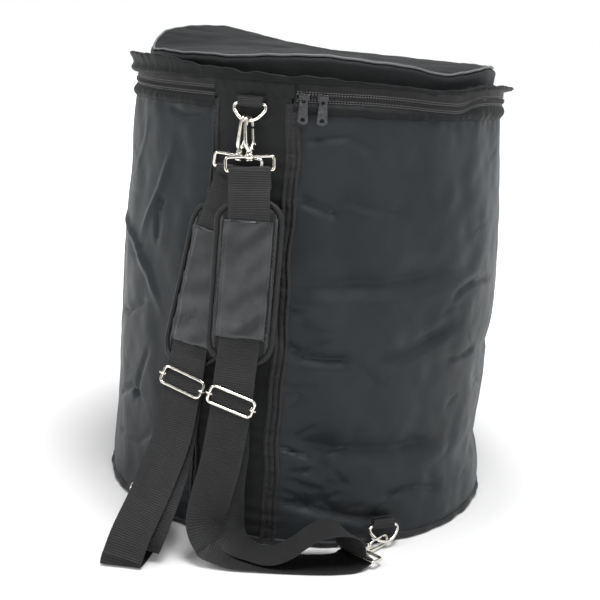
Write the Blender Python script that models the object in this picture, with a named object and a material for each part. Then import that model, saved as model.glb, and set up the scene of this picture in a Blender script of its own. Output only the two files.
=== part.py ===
"""Round padded drum bag with a zipped lid and two clip-on shoulder straps.

Units are metres, +Z is up, and the origin is the middle of the base on the floor.
The strap panel faces -Y.
"""
import math

import bmesh
import bpy
from mathutils import Vector

# ---- driving dimensions of the round bag ----
R_BASE = 0.266
R_TOP = 0.245
WALL_TOP = 0.5295
ZIP_Z = 0.543
SKIN_T = 0.0012
FOAM_T = 0.0080
LINING_T = 0.0006
FOAM_TOP = 0.5375
GAP = 0.0003
PANEL_HALF_DEG = 10.8
SEAM_R_DEG = 4.0
SEAM_L_DEG = 1.7
ROUND_SEG = 60

# ---- zip ----
TAPE_T = 0.0010
TEETH_H = 0.0020
TEETH_GAP = 0.0010
ZIP_END_DEG = 11.2
SLIDER_A_DEG = 14.0
SLIDER_B_DEG = 19.0
SLIDER_L = 0.0120
SLIDER_H = 0.0086
SLIDER_FACE = 0.0028
PULL_L = 0.0310
PULL_W = 0.0120
PULL_T = 0.0016

# ---- lid ----
LID_BAND_Z0 = 0.5563
LID_EDGE_Z = 0.5860
LID_EDGE_R = 0.2270
LID_CENTRE_RISE = 0.0060
LID_SLUMP = 0.0150
PIPING_R = 0.0026

# ---- hardware ----
WEB_W = 0.0480
WEB_T = 0.0015
RING_W = 0.0420
RING_H = 0.0240
RING_WIRE = 0.0020
BASE_W = 0.0590
BASE_WIRE = 0.0019
SHOULDER_U = 0.0155
HOOK_WIRE = 0.0017
HOOK_END_U = 0.0625
HOOK_HALF = 0.0066
HOOK_SEAT_U = 0.0562
TRI_HALF_W = 0.02725
TRI_HALF_H = 0.01025
TRI_WIRE = 0.00175
TRI_BAR_WIRE = 0.0014
TRI_TILT_DEG = -14.0

# ---- shoulder pads ----
PAD_W = 0.0800
PAD_T = 0.0085
PATCH_W = 0.0580
PATCH_T = 0.0015

MATERIALS = {}


def material(name, colour, rough, metal):
    """A Principled material, made once per name."""
    if name in MATERIALS:
        return MATERIALS[name]
    mat = bpy.data.materials.new(name)
    mat.use_nodes = True
    bsdf = mat.node_tree.nodes["Principled BSDF"]
    bsdf.inputs["Base Color"].default_value = (colour[0], colour[1], colour[2], 1.0)
    bsdf.inputs["Roughness"].default_value = rough
    bsdf.inputs["Metallic"].default_value = metal
    mat.diffuse_color = (colour[0], colour[1], colour[2], 1.0)
    MATERIALS[name] = mat
    return mat


NYLON = (0.040, 0.043, 0.046)
WEBBING = (0.024, 0.025, 0.026)
VINYL = (0.070, 0.074, 0.080)
FOAM = (0.10, 0.10, 0.11)
LINING = (0.020, 0.021, 0.023)
NICKEL = (0.80, 0.78, 0.74)
DARK_METAL = (0.10, 0.10, 0.11)
ZIP_BLACK = (0.015, 0.015, 0.016)
SILVER = (0.42, 0.43, 0.44)


def add_object(name, verts, faces, colour, rough=0.8, metal=0.0, origin=None, smooth=40.0):
    """A mesh object whose vertices are given in world space, with its origin where asked."""
    at = Vector(origin) if origin is not None else Vector((0.0, 0.0, 0.0))
    mesh = bpy.data.meshes.new(name)
    mesh.from_pydata([tuple(Vector(v) - at) for v in verts], [], faces)
    bm = bmesh.new()
    bm.from_mesh(mesh)
    bmesh.ops.recalc_face_normals(bm, faces=bm.faces)
    bm.to_mesh(mesh)
    bm.free()
    mesh.update()
    obj = bpy.data.objects.new(name, mesh)
    bpy.context.scene.collection.objects.link(obj)
    obj.location = at
    mesh.materials.append(material(name + "_mat", colour, rough, metal))
    mesh.shade_smooth()
    mesh.set_sharp_from_angle(angle=math.radians(smooth))
    return obj


def polar(radius, deg, z):
    """A point at an azimuth measured from -Y towards +X."""
    a = math.radians(deg)
    return Vector((radius * math.sin(a), -radius * math.cos(a), z))


def smoothstep(value):
    v = min(1.0, max(0.0, value))
    return v * v * (3.0 - 2.0 * v)


def slump(point):
    """The soft lid is pushed up at its back left and lies lower at the right."""
    w = smoothstep((point.z - LID_BAND_Z0) / (LID_EDGE_Z - LID_BAND_Z0))
    side = (-0.89 * point.x + 0.45 * point.y) / R_TOP
    lift = LID_SLUMP * smoothstep(0.5 + 0.5 * side)
    return Vector((point.x, point.y, point.z + w * lift))


def wall_r(z):
    """Outer radius of the bag's wall at a height."""
    t = min(1.0, max(0.0, z / WALL_TOP))
    return R_BASE + (R_TOP - R_BASE) * t


def revolve(profile, deg0=0.0, deg1=360.0, seg=ROUND_SEG, shift=None):
    """Closed profile of (radius, z) swept about Z; a full turn, or a capped part of one."""
    full = abs(deg1 - deg0) >= 359.999
    step = 360.0 / seg
    if full:
        degs = [step * i for i in range(seg)]
    else:
        first = int(math.floor(deg0 / step)) + 1
        last = int(math.ceil(deg1 / step)) - 1
        degs = [deg0] + [step * i for i in range(first, last + 1)] + [deg1]
    count = len(degs)
    span = count if full else count - 1
    n = len(profile)
    verts = []
    for deg in degs:
        for radius, z in profile:
            p = polar(radius, deg, z)
            verts.append(shift(p) if shift else p)
    faces = []
    for i in range(span):
        a = i * n
        b = ((i + 1) % count) * n
        for j in range(n):
            k = (j + 1) % n
            faces.append((a + j, a + k, b + k, b + j))
    if not full:
        faces.append(tuple(range(n - 1, -1, -1)))
        faces.append(tuple((count - 1) * n + j for j in range(n)))
    return verts, faces


def disc(radius_z_top, radius_z_bottom, seg=ROUND_SEG, shift=None):
    """A closed round plate: rings of (radius, z) from the middle out, above and below."""
    verts = []
    faces = []
    centres = []
    for rings, sign in ((radius_z_top, 1), (radius_z_bottom, -1)):
        centre = len(verts)
        centres.append(centre)
        verts.append(Vector((0.0, 0.0, rings[0][1])))
        for radius, z in rings[1:]:
            for i in range(seg):
                verts.append(polar(radius, 360.0 * i / seg, z))
        first = centre + 1
        for i in range(seg):
            k = (i + 1) % seg
            tri = (centre, first + i, first + k)
            faces.append(tri if sign > 0 else tri[::-1])
        for r in range(len(rings) - 2):
            a = first + r * seg
            b = a + seg
            for i in range(seg):
                k = (i + 1) % seg
                quad = (a + i, b + i, b + k, a + k)
                faces.append(quad if sign > 0 else quad[::-1])
    top_last = centres[0] + 1 + (len(radius_z_top) - 2) * seg
    low_last = centres[1] + 1 + (len(radius_z_bottom) - 2) * seg
    for i in range(seg):
        k = (i + 1) % seg
        faces.append((top_last + i, low_last + i, low_last + k, top_last + k))
    if shift:
        verts = [shift(v) for v in verts]
    return verts, faces


def loft(rings, closed=False):
    """Quads between rings of equal point counts; open lofts are capped at both ends."""
    n = len(rings[0])
    verts = [p for ring in rings for p in ring]
    faces = []
    count = len(rings)
    for i in range(count if closed else count - 1):
        a = i * n
        b = ((i + 1) % count) * n
        for j in range(n):
            k = (j + 1) % n
            faces.append((a + j, a + k, b + k, b + j))
    if not closed:
        faces.append(tuple(range(n - 1, -1, -1)))
        faces.append(tuple((count - 1) * n + j for j in range(n)))
    return verts, faces


def wire(points, radius, closed=False, sides=6):
    """A round wire along a path, with its section carried along without twist."""
    pts = [Vector(p) for p in points]
    count = len(pts)
    tangents = []
    for i in range(count):
        if closed:
            a = pts[(i - 1) % count]
            b = pts[(i + 1) % count]
        else:
            a = pts[max(0, i - 1)]
            b = pts[min(count - 1, i + 1)]
        tangents.append((b - a).normalized())
    ref = Vector((0.0, 0.0, 1.0))
    if abs(tangents[0].dot(ref)) > 0.9:
        ref = Vector((1.0, 0.0, 0.0))
    e1 = (ref - tangents[0] * ref.dot(tangents[0])).normalized()
    rings = []
    for t in tangents:
        e1 = (e1 - t * e1.dot(t)).normalized()
        e2 = t.cross(e1)
        p = pts[len(rings)]
        ring = []
        for s in range(sides):
            a = 2.0 * math.pi * s / sides
            ring.append(p + e1 * (radius * math.cos(a)) + e2 * (radius * math.sin(a)))
        rings.append(ring)
    return loft(rings, closed)


def catmull(rows, per=5):
    """Smooth rows of numbers through the given rows."""
    out = []
    n = len(rows)
    for i in range(n - 1):
        p0 = rows[max(0, i - 1)]
        p1 = rows[i]
        p2 = rows[i + 1]
        p3 = rows[min(n - 1, i + 2)]
        for s in range(per):
            t = s / per
            row = []
            for a, b, c, d in zip(p0, p1, p2, p3):
                row.append(0.5 * (2 * b + (c - a) * t + (2 * a - 5 * b + 4 * c - d) * t * t
                                  + (3 * b - a - 3 * c + d) * t ** 3))
            out.append(row)
    out.append(list(rows[-1]))
    return out


def frames(rows):
    """Points, tangents, width directions and normals along rows of (x, y, z, wx, wy, wz)."""
    pts = [Vector(r[:3]) for r in rows]
    out = []
    for i, p in enumerate(pts):
        a = pts[max(0, i - 1)]
        b = pts[min(len(pts) - 1, i + 1)]
        t = (b - a).normalized()
        w = Vector(rows[i][3:6])
        w = (w - t * w.dot(t)).normalized()
        out.append((p, t, w, t.cross(w)))
    return out


def ribbon(rows, width, thick, offset=0.0):
    """A flat strip along rows; width and thick are numbers or functions of 0 to 1."""
    rings = []
    stations = frames(rows)
    last = len(stations) - 1
    for i, (p, t, w, n) in enumerate(stations):
        s = i / last
        hw = 0.5 * (width(s) if callable(width) else width)
        ht = 0.5 * (thick(s) if callable(thick) else thick)
        c = p + n * offset
        rings.append([c - w * hw - n * ht, c + w * hw - n * ht, c + w * hw + n * ht, c - w * hw + n * ht])
    return loft(rings)


def slab(rows, width, thick, edge_thick, offset, corner):
    """A cushion along rows: full thickness inside, thinner at its edge, with rounded corners."""
    stations = frames(rows)
    length = [0.0]
    for i in range(1, len(stations)):
        length.append(length[-1] + (stations[i][0] - stations[i - 1][0]).length)
    total = length[-1]
    rings = []
    for i, (p, t, w, n) in enumerate(stations):
        s = length[i]
        near = min(s, total - s)
        hw = 0.5 * width
        if near < corner:
            hw = hw - corner + math.sqrt(max(0.0, corner * corner - (corner - near) ** 2))
        ease = smoothstep(near / (1.2 * corner))
        ht = 0.5 * (edge_thick + (thick - edge_thick) * ease)
        he = 0.5 * edge_thick
        c = p + n * offset
        row = []
        for x, y in ((-1.0, -he), (-0.8, -ht), (0.8, -ht), (1.0, -he), (1.0, he), (0.8, ht), (-0.8, ht),
                     (-1.0, he)):
            row.append(c + w * (hw * x) + n * y)
        rings.append(row)
    return loft(rings)


def union(name, parts, colour, rough, metal, origin):
    """One closed solid from overlapping closed solids, joined exactly."""
    base = add_object(name, parts[0][0], parts[0][1], colour, rough, metal, origin)
    for i, (verts, faces) in enumerate(parts[1:]):
        tool = add_object(name + "_tool%d" % i, verts, faces, colour)
        mod = base.modifiers.new("join%d" % i, "BOOLEAN")
        mod.operation = "UNION"
        mod.solver = "EXACT"
        mod.object = tool
        tool.hide_render = True
        tool.hide_viewport = False
        tool.display_type = "WIRE"
        bpy.context.view_layer.update()
        graph = bpy.context.evaluated_depsgraph_get()
        merged = bpy.data.meshes.new_from_object(base.evaluated_get(graph))
        base.modifiers.remove(mod)
        old = base.data
        base.data = merged
        merged.materials.clear()
        merged.materials.append(material(name + "_mat", colour, rough, metal))
        for poly in merged.polygons:
            poly.material_index = 0
        bpy.data.meshes.remove(old)
        bpy.data.objects.remove(tool)
    base.data.shade_smooth()
    base.data.set_sharp_from_angle(angle=math.radians(40.0))
    return base


for stale in list(bpy.data.objects):
    bpy.data.objects.remove(stale)

# ------------------------------------------------------------------ base
binding = [(R_BASE - 0.0035, 0.0), (R_BASE + 0.0018, 0.0), (R_BASE + 0.0026, 0.0025),
           (R_BASE + 0.0018, 0.0050), (R_BASE - 0.0035, 0.0050)]
add_object("base_binding", *revolve(binding), WEBBING, 0.85)
BASE_R = R_BASE - 0.0038
add_object("base_cover", *disc([(0, SKIN_T), (BASE_R, SKIN_T)], [(0, 0.0), (BASE_R, 0.0)]), NYLON, 0.7)
FOAM_R = wall_r(0.02) - 0.0015 - FOAM_T - GAP
base_foam = disc([(0, 0.0095), (FOAM_R, 0.0095)], [(0, 0.0015), (FOAM_R, 0.0015)])
add_object("base_foam", *base_foam, FOAM, 0.9)
LIN_R = FOAM_R - LINING_T - 0.0006
base_lining = disc([(0, 0.0104), (LIN_R, 0.0104)], [(0, 0.0098), (LIN_R, 0.0098)])
add_object("base_lining", *base_lining, LINING, 0.8)


def wall_profile(r_out, r_in, z0, z1, levels):
    """A closed wall section that follows the taper: offsets are measured in from the skin."""
    zs = [z0 + (z1 - z0) * i / levels for i in range(levels + 1)]
    outer = [(wall_r(z) - r_out, z) for z in zs]
    inner = [(wall_r(z) - r_in, z) for z in reversed(zs)]
    return outer + inner


# ------------------------------------------------------------------ round wall
skin = wall_profile(0.0, SKIN_T, 0.0053, WALL_TOP, 2)
EDGE = PANEL_HALF_DEG + 0.08
add_object("wall_panel", *revolve(skin, EDGE, 360.0 - EDGE), NYLON, 0.55)
panel_z = (0.0053, 0.2674, WALL_TOP, 0.5415)
strap_skin = [(wall_r(z) + 0.0012, z) for z in panel_z]
strap_skin += [(wall_r(z), z) for z in reversed(panel_z)]
P_EDGE = PANEL_HALF_DEG - 0.05
add_object("strap_panel", *revolve(strap_skin, -P_EDGE, P_EDGE), NYLON, 0.6)
seam = wall_profile(-0.0025, -0.0016, 0.0060, 0.5290, 2)
add_object("seam_band_right", *revolve(seam, P_EDGE - 1.2, P_EDGE - 1.2 + SEAM_R_DEG), WEBBING, 0.8)
add_object("seam_band_left", *revolve(seam, -P_EDGE - 0.6, -P_EDGE - 0.6 + SEAM_L_DEG), WEBBING, 0.8)


def lined_profile(r_out, r_in, z0):
    """As wall_profile, but running up past the skin to the top of the zip tape."""
    zs = (z0, 0.5 * WALL_TOP, WALL_TOP, FOAM_TOP)
    outer = [(wall_r(z) - r_out, z) for z in zs]
    inner = [(wall_r(z) - r_in, z) for z in reversed(zs)]
    return outer + inner


foam = lined_profile(SKIN_T + GAP, SKIN_T + GAP + FOAM_T, 0.0053)
add_object("wall_foam", *revolve(foam), FOAM, 0.9)
lin_out = SKIN_T + 2 * GAP + FOAM_T
lining = lined_profile(lin_out, lin_out + LINING_T, 0.0110)
add_object("wall_lining", *revolve(lining), LINING, 0.8)


# ------------------------------------------------------------------ zip
def band(r_in, r_out, z0, z1):
    return [(r_out, z0), (r_out, z1), (r_in, z1), (r_in, z0)]


Z_TEETH_LOW = ZIP_Z - TEETH_GAP / 2 - TEETH_H
Z_TEETH_UP = ZIP_Z + TEETH_GAP / 2
low_tape = band(R_TOP - TAPE_T, R_TOP, WALL_TOP + GAP, Z_TEETH_LOW - GAP)
add_object("zip_tape_lower", *revolve(low_tape, ZIP_END_DEG, 360 - ZIP_END_DEG), ZIP_BLACK, 0.8)
up_tape = band(R_TOP - TAPE_T, R_TOP, Z_TEETH_UP + TEETH_H + GAP, LID_BAND_Z0 - GAP)
add_object("zip_tape_upper", *revolve(up_tape, ZIP_END_DEG, 360 - ZIP_END_DEG), ZIP_BLACK, 0.8)
low_teeth = band(R_TOP - 0.0016, R_TOP + 0.0006, Z_TEETH_LOW, Z_TEETH_LOW + TEETH_H)
add_object("zip_coil_lower", *revolve(low_teeth, ZIP_END_DEG, 360 - ZIP_END_DEG), ZIP_BLACK, 0.5)
up_teeth = band(R_TOP - 0.0016, R_TOP + 0.0006, Z_TEETH_UP, Z_TEETH_UP + TEETH_H)
add_object("zip_coil_upper", *revolve(up_teeth, ZIP_END_DEG, 360 - ZIP_END_DEG), ZIP_BLACK, 0.5)


def slider(tag, deg):
    """Zip slider: two plates that straddle the coils, joined by a thin wedge, with a pull."""
    out = polar(1.0, deg, 0.0)
    along = Vector((math.cos(math.radians(deg)), math.sin(math.radians(deg)), 0.0))
    up = Vector((0.0, 0.0, 1.0))
    mid = polar(R_TOP - 0.0005, deg, ZIP_Z)

    def block(a0, a1, o0, o1, z0, z1):
        pts = []
        for a in (a0, a1):
            for o, z in ((o0, z0), (o1, z0), (o1, z1), (o0, z1)):
                pts.append(mid + along * a + out * o + up * z)
        faces = [(3, 2, 1, 0), (4, 5, 6, 7), (0, 1, 5, 4), (1, 2, 6, 5), (2, 3, 7, 6), (3, 0, 4, 7)]
        return pts, faces

    half = SLIDER_L / 2
    hz = SLIDER_H / 2
    face = SLIDER_FACE
    back_face = 0.0024
    plate_t = 0.0012
    front = block(-half, half, face, face + plate_t, -hz, hz)
    back = block(-half, half, -back_face - plate_t, -back_face, -hz, hz)
    wedge = block(-0.0025, 0.0025, -back_face - plate_t / 2, face + plate_t / 2, -0.0003, 0.0003)
    pin = mid + out * (face + plate_t + 0.0020) + up * 0.0005
    loop_path = []
    for o, z in ((-0.0026, 0.0026), (0.0008, 0.0027), (0.0019, 0.0018), (0.0022, 0.0),
                 (0.0019, -0.0018), (0.0008, -0.0027), (-0.0026, -0.0026)):
        loop_path.append(pin + out * o + up * z)
    bridge = wire(loop_path, 0.0006, sides=6)
    union("zip_slider_" + tag, [front, wedge, back, bridge], DARK_METAL, 0.35, 0.9, (0.0, 0.0, ZIP_Z))

    # The pull is a flat tab: its top bar passes under the slider's bridge.
    def outline(half_w, top, bottom, corner):
        pts = []
        for sx, sz, base in ((1, 1, 0), (-1, 1, 90), (-1, -1, 180), (1, -1, 270)):
            cx = sx * (half_w - corner)
            cz = (top - corner) if sz > 0 else (bottom + corner)
            for k in range(3):
                a = math.radians(base + 45 * k)
                pts.append((cx + corner * math.cos(a), cz + corner * math.sin(a)))
        return pts

    outer = outline(PULL_W / 2, 0.0007, -PULL_L, 0.0006)
    slot = outline(0.0022, -0.0007, -0.0075, 0.0006)
    t = 0.00065
    verts = []
    for o in (-t, t):
        for ring in (outer, slot):
            verts += [pin + along * x + up * z + out * o for x, z in ring]
    n = len(outer)
    faces = []
    for j in range(n):
        k = (j + 1) % n
        faces.append((j, n + j, n + k, k))
        faces.append((2 * n + j, 2 * n + k, 3 * n + k, 3 * n + j))
        faces.append((j, k, 2 * n + k, 2 * n + j))
        faces.append((n + j, 3 * n + j, 3 * n + k, n + k))
    add_object("zip_pull_" + tag, verts, faces, DARK_METAL, 0.35, 0.9, pin)


slider("a", SLIDER_A_DEG)
slider("b", SLIDER_B_DEG)

# ------------------------------------------------------------------ lid
hinge_web = band(R_TOP - 0.0010, R_TOP + 0.0006, 0.5425, LID_BAND_Z0 - GAP)
add_object("lid_hinge_web", *revolve(hinge_web, -PANEL_HALF_DEG, PANEL_HALF_DEG), NYLON, 0.6)
band_out = [(R_TOP + 0.0005, LID_BAND_Z0), (R_TOP + 0.0060, 0.5660), (R_TOP + 0.0035, 0.5740),
            (R_TOP - 0.0080, 0.5775), (R_TOP - 0.0140, 0.5820)]
band_in = [(R_TOP - 0.0152, 0.5812), (R_TOP - 0.0088, 0.5764), (R_TOP + 0.0020, 0.5728),
           (R_TOP + 0.0044, 0.5664), (R_TOP - 0.0007, LID_BAND_Z0)]
add_object("lid_side_band", *revolve(band_out + band_in, shift=slump), NYLON, 0.6)
pipe_z = LID_EDGE_Z - 0.0002
pipe_r = LID_EDGE_R + PIPING_R + 0.0003
pipe = []
for k in range(6):
    pipe.append((pipe_r + PIPING_R * math.cos(math.radians(60 * k)),
                 pipe_z + PIPING_R * math.sin(math.radians(60 * k))))
add_object("lid_piping", *revolve(pipe, shift=slump), SILVER, 0.5)


def dome(offset, radius, rings=3):
    """Rings of the softly raised lid, a distance below its outer face."""
    out = []
    for i in range(rings + 1):
        t = i / rings
        out.append((radius * t, LID_EDGE_Z + LID_CENTRE_RISE * (1 - t * t) - offset))
    return out


add_object("lid_top_panel", *disc(dome(0.0, LID_EDGE_R), dome(SKIN_T, LID_EDGE_R), shift=slump), NYLON, 0.6)
lid_foam_r = LID_EDGE_R - 0.0040
lid_foam = disc(dome(0.0015, lid_foam_r), dome(0.0080, lid_foam_r), shift=slump)
add_object("lid_foam", *lid_foam, FOAM, 0.9)
lid_lining = disc(dome(0.0083, lid_foam_r), dome(0.0089, lid_foam_r), shift=slump)
add_object("lid_lining", *lid_lining, LINING, 0.8)


# ------------------------------------------------------------------ rings on their tabs
def d_ring(tag, deg, z_bar, r_bar, sew_up, swing_out):
    """A wire D-ring hanging on a short folded tab of webbing sewn to the wall."""
    out = polar(1.0, deg, 0.0)
    along = Vector((math.cos(math.radians(deg)), math.sin(math.radians(deg)), 0.0))
    up = Vector((0.0, 0.0, 1.0))
    bar = polar(r_bar, deg, z_bar)
    hw = RING_W / 2 - RING_WIRE
    drop = RING_H - 2 * RING_WIRE
    path = []
    for x, z in ((-0.6, 0.0), (0.0, 0.0), (0.6, 0.0), (0.88, -0.02), (1.0, -0.14), (0.98, -0.36)):
        path.append((x * hw, z * drop))
    for k in range(1, 8):
        a = math.radians(-20 - 140 * k / 8)
        path.append((hw * 0.98 * math.cos(a), drop * (-0.36 + 0.64 * (math.sin(a) + 0.342) / 0.658)))
    for x, z in ((-0.98, -0.36), (-1.0, -0.14), (-0.88, -0.02)):
        path.append((x * hw, z * drop))
    lean = math.radians(swing_out)
    hang = up * math.cos(lean) - out * math.sin(lean)
    pts = [bar + along * x + hang * z for x, z in path]
    verts, faces = wire(pts, RING_WIRE, closed=True, sides=8)
    add_object("ring_" + tag, verts, faces, NICKEL, 0.2, 1.0, bar)
    r_loop = RING_WIRE + GAP + 0.0006
    rows = []
    back = -r_loop
    w = tuple(along)

    def row(o, z):
        p = bar + out * o + up * z
        rows.append((p.x, p.y, p.z) + w)

    for z in (sew_up, sew_up * 0.6, sew_up * 0.3):
        row(back, z)
    for k in range(7):
        a = math.radians(180 + 30 * k)
        row(r_loop * math.cos(a), r_loop * math.sin(a))
    for z in (sew_up * 0.3, sew_up * 0.6, sew_up * 0.95):
        row(-back - 0.0004 * z / sew_up, z)
    add_object("ring_tab_" + tag, *ribbon(rows, 0.030, 0.0012), WEBBING, 0.85)
    return bar, out, along


TOP_RING_Z = 0.5315
d_ring("top", 0.0, TOP_RING_Z, R_TOP + 0.0062, 0.0085, 17.0)
LOW_RING_Z = 0.0258
LOW_SWING = 32.0
RIGHT_RING_DEG = 43.0
LEFT_RING_DEG = -29.5
d_ring("right", RIGHT_RING_DEG, LOW_RING_Z, wall_r(0.03) + 0.0050, 0.0200, LOW_SWING)
d_ring("left", LEFT_RING_DEG, LOW_RING_Z, wall_r(0.03) + 0.0050, 0.0200, LOW_SWING)


# ------------------------------------------------------------------ snap hooks
def snap_hook(tag, bar, tip_dir, bar_dir, plane_dir):
    """Swivel snap hook: wire base in the webbing, hook body on its stem, and a sprung gate.

    bar is the middle of the wire that sits in the webbing, tip_dir points to the hook's tip,
    bar_dir runs along that wire, and plane_dir is the way the hook's back faces.
    """
    bar = Vector(bar)
    u = Vector(tip_dir).normalized()
    b = Vector(bar_dir)
    b = (b - u * b.dot(u)).normalized()
    n = Vector(plane_dir)
    n = (n - u * n.dot(u)).normalized()

    def base_pt(x, y):
        return bar + b * x + u * y

    def hook_pt(x, y):
        return bar + n * x + u * y

    def round_part(profile, sides=12, hole=False):
        m = n.cross(u)
        if hole:
            rings = []
            for i in range(sides):
                a = 2 * math.pi * i / sides
                d = n * math.cos(a) + m * math.sin(a)
                rings.append([bar + d * r + u * y for r, y in profile])
            return loft(rings, closed=True)
        rings = []
        for r, y in profile:
            rings.append([bar + u * y + (n * math.cos(2 * math.pi * i / sides)
                                         + m * math.sin(2 * math.pi * i / sides)) * r
                          for i in range(sides)])
        return loft(rings)

    hw = BASE_W / 2 - BASE_WIRE
    s = SHOULDER_U
    c = 0.0026
    q = 0.0008
    path = [(-0.0042, s), (-hw + c, s), (-hw + q, s - q), (-hw, s - c), (-hw, c), (-hw + q, q), (-hw + c, 0.0),
            (hw - c, 0.0), (hw - q, q), (hw, c), (hw, s - c), (hw - q, s - q), (hw - c, s), (0.0042, s)]
    frame_wire = wire([base_pt(x, y) for x, y in path], BASE_WIRE)
    collar = round_part([(0.0027, s - 0.0028), (0.0053, s - 0.0028), (0.0053, s + 0.0028),
                         (0.0027, s + 0.0028)], hole=True)
    union("hook_base_" + tag, [collar, frame_wire], NICKEL, 0.2, 1.0, bar)
    stem = round_part([(0.0040, s - 0.0052), (0.0040, s - 0.0032), (0.0022, s - 0.0032),
                       (0.0022, s + 0.0032), (0.0040, s + 0.0032), (0.0036, s + 0.0062),
                       (0.0020, s + 0.0076)])
    hh = HOOK_HALF
    end = HOOK_END_U - HOOK_WIRE
    hook_path = [(0.0, s + 0.0055), (-0.0035, s + 0.0085), (-hh, s + 0.0150), (-hh, end - 0.011)]
    for k in range(1, 7):
        a = math.radians(180 - 30 * k)
        hook_path.append((hh * math.cos(a), end - hh + hh * math.sin(a)))
    hook_path.append((hh, end - hh - 0.0035))
    curve = wire([hook_pt(x, y) for x, y in hook_path], HOOK_WIRE)
    shift = hook_pt(0.0, s)
    union("hook_body_" + tag, [stem, curve], NICKEL, 0.2, 1.0, shift)
    gate_low = s + 0.0098
    gate_top = end - hh - 0.0035 - HOOK_WIRE - 0.0008
    gate_path = [(0.0033, gate_low), (0.0046, gate_low + 0.003), (hh, gate_low + 0.008), (hh, gate_top)]
    pivot = hook_pt(*gate_path[0])
    gate = wire([hook_pt(x, y) for x, y in gate_path], 0.0015)
    add_object("hook_gate_" + tag, *gate, NICKEL, 0.2, 1.0, pivot)


def az_dir(deg):
    a = math.radians(deg)
    return Vector((math.cos(a), math.sin(a), 0.0))


def hook_bar(seat, tip_dir):
    """Where a hook's bar lies when the ring's wire sits at a point inside the hook."""
    return Vector(seat) - Vector(tip_dir).normalized() * HOOK_SEAT_U


def bar_dir(tip_dir, side_dir):
    u = Vector(tip_dir).normalized()
    b = Vector(side_dir)
    return (b - u * b.dot(u)).normalized()


TIP_UR = Vector((-0.158, 0.210, 0.965))
TIP_UL = Vector((0.088, 0.055, 0.995))
BAR_UR = hook_bar((0.0015, -0.2571, 0.5125), TIP_UR)
BAR_UL = hook_bar((-0.0042, -0.2570, 0.5128), TIP_UL)
WIDE_UR = bar_dir(TIP_UR, az_dir(14.0))
WIDE_UL = bar_dir(TIP_UL, az_dir(10.0))
snap_hook("upper_right", BAR_UR, TIP_UR, WIDE_UR, (0.30, 0.95, 0.0))
snap_hook("upper_left", BAR_UL, TIP_UL, WIDE_UL, (0.15, 0.97, 0.0))
LOW_Z = 0.0092
TIP_LR = Vector((0.40, 0.92, 0.0))
TIP_LL = Vector((-0.6036, 0.8006, 0.0))
BAR_LR = Vector((0.1660, -0.2534, LOW_Z))
BAR_LL = Vector((-0.1040, -0.2841, LOW_Z))
WIDE_LR = bar_dir(TIP_LR, (-0.92, 0.40, 0.0))
WIDE_LL = bar_dir(TIP_LL, (0.8006, 0.6036, 0.0))
snap_hook("lower_right", BAR_LR, TIP_LR, WIDE_LR, (0.0, 0.0, 1.0))
snap_hook("lower_left", BAR_LL, TIP_LL, WIDE_LL, (0.0, 0.0, 1.0))

# ------------------------------------------------------------------ straps
FOLD_R = BASE_WIRE + 0.0006 + WEB_T / 2


def fold(bar, start_dir, turn_dir, w, steps=6):
    """Rows that carry webbing round a wire, from one side over turn_dir to the other."""
    s = Vector(start_dir).normalized()
    t = Vector(turn_dir).normalized()
    rows = []
    for k in range(steps + 1):
        a = math.pi * k / steps
        p = Vector(bar) + s * (FOLD_R * math.cos(a)) + t * (FOLD_R * math.sin(a))
        rows.append((p.x, p.y, p.z, w[0], w[1], w[2]))
    return rows


def rows_between(rows, z_high, z_low):
    """The part of a strap that lies between two heights, on its way down."""
    out = []
    for r in rows:
        if z_low <= r[2] <= z_high:
            out.append(r)
    return out


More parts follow.
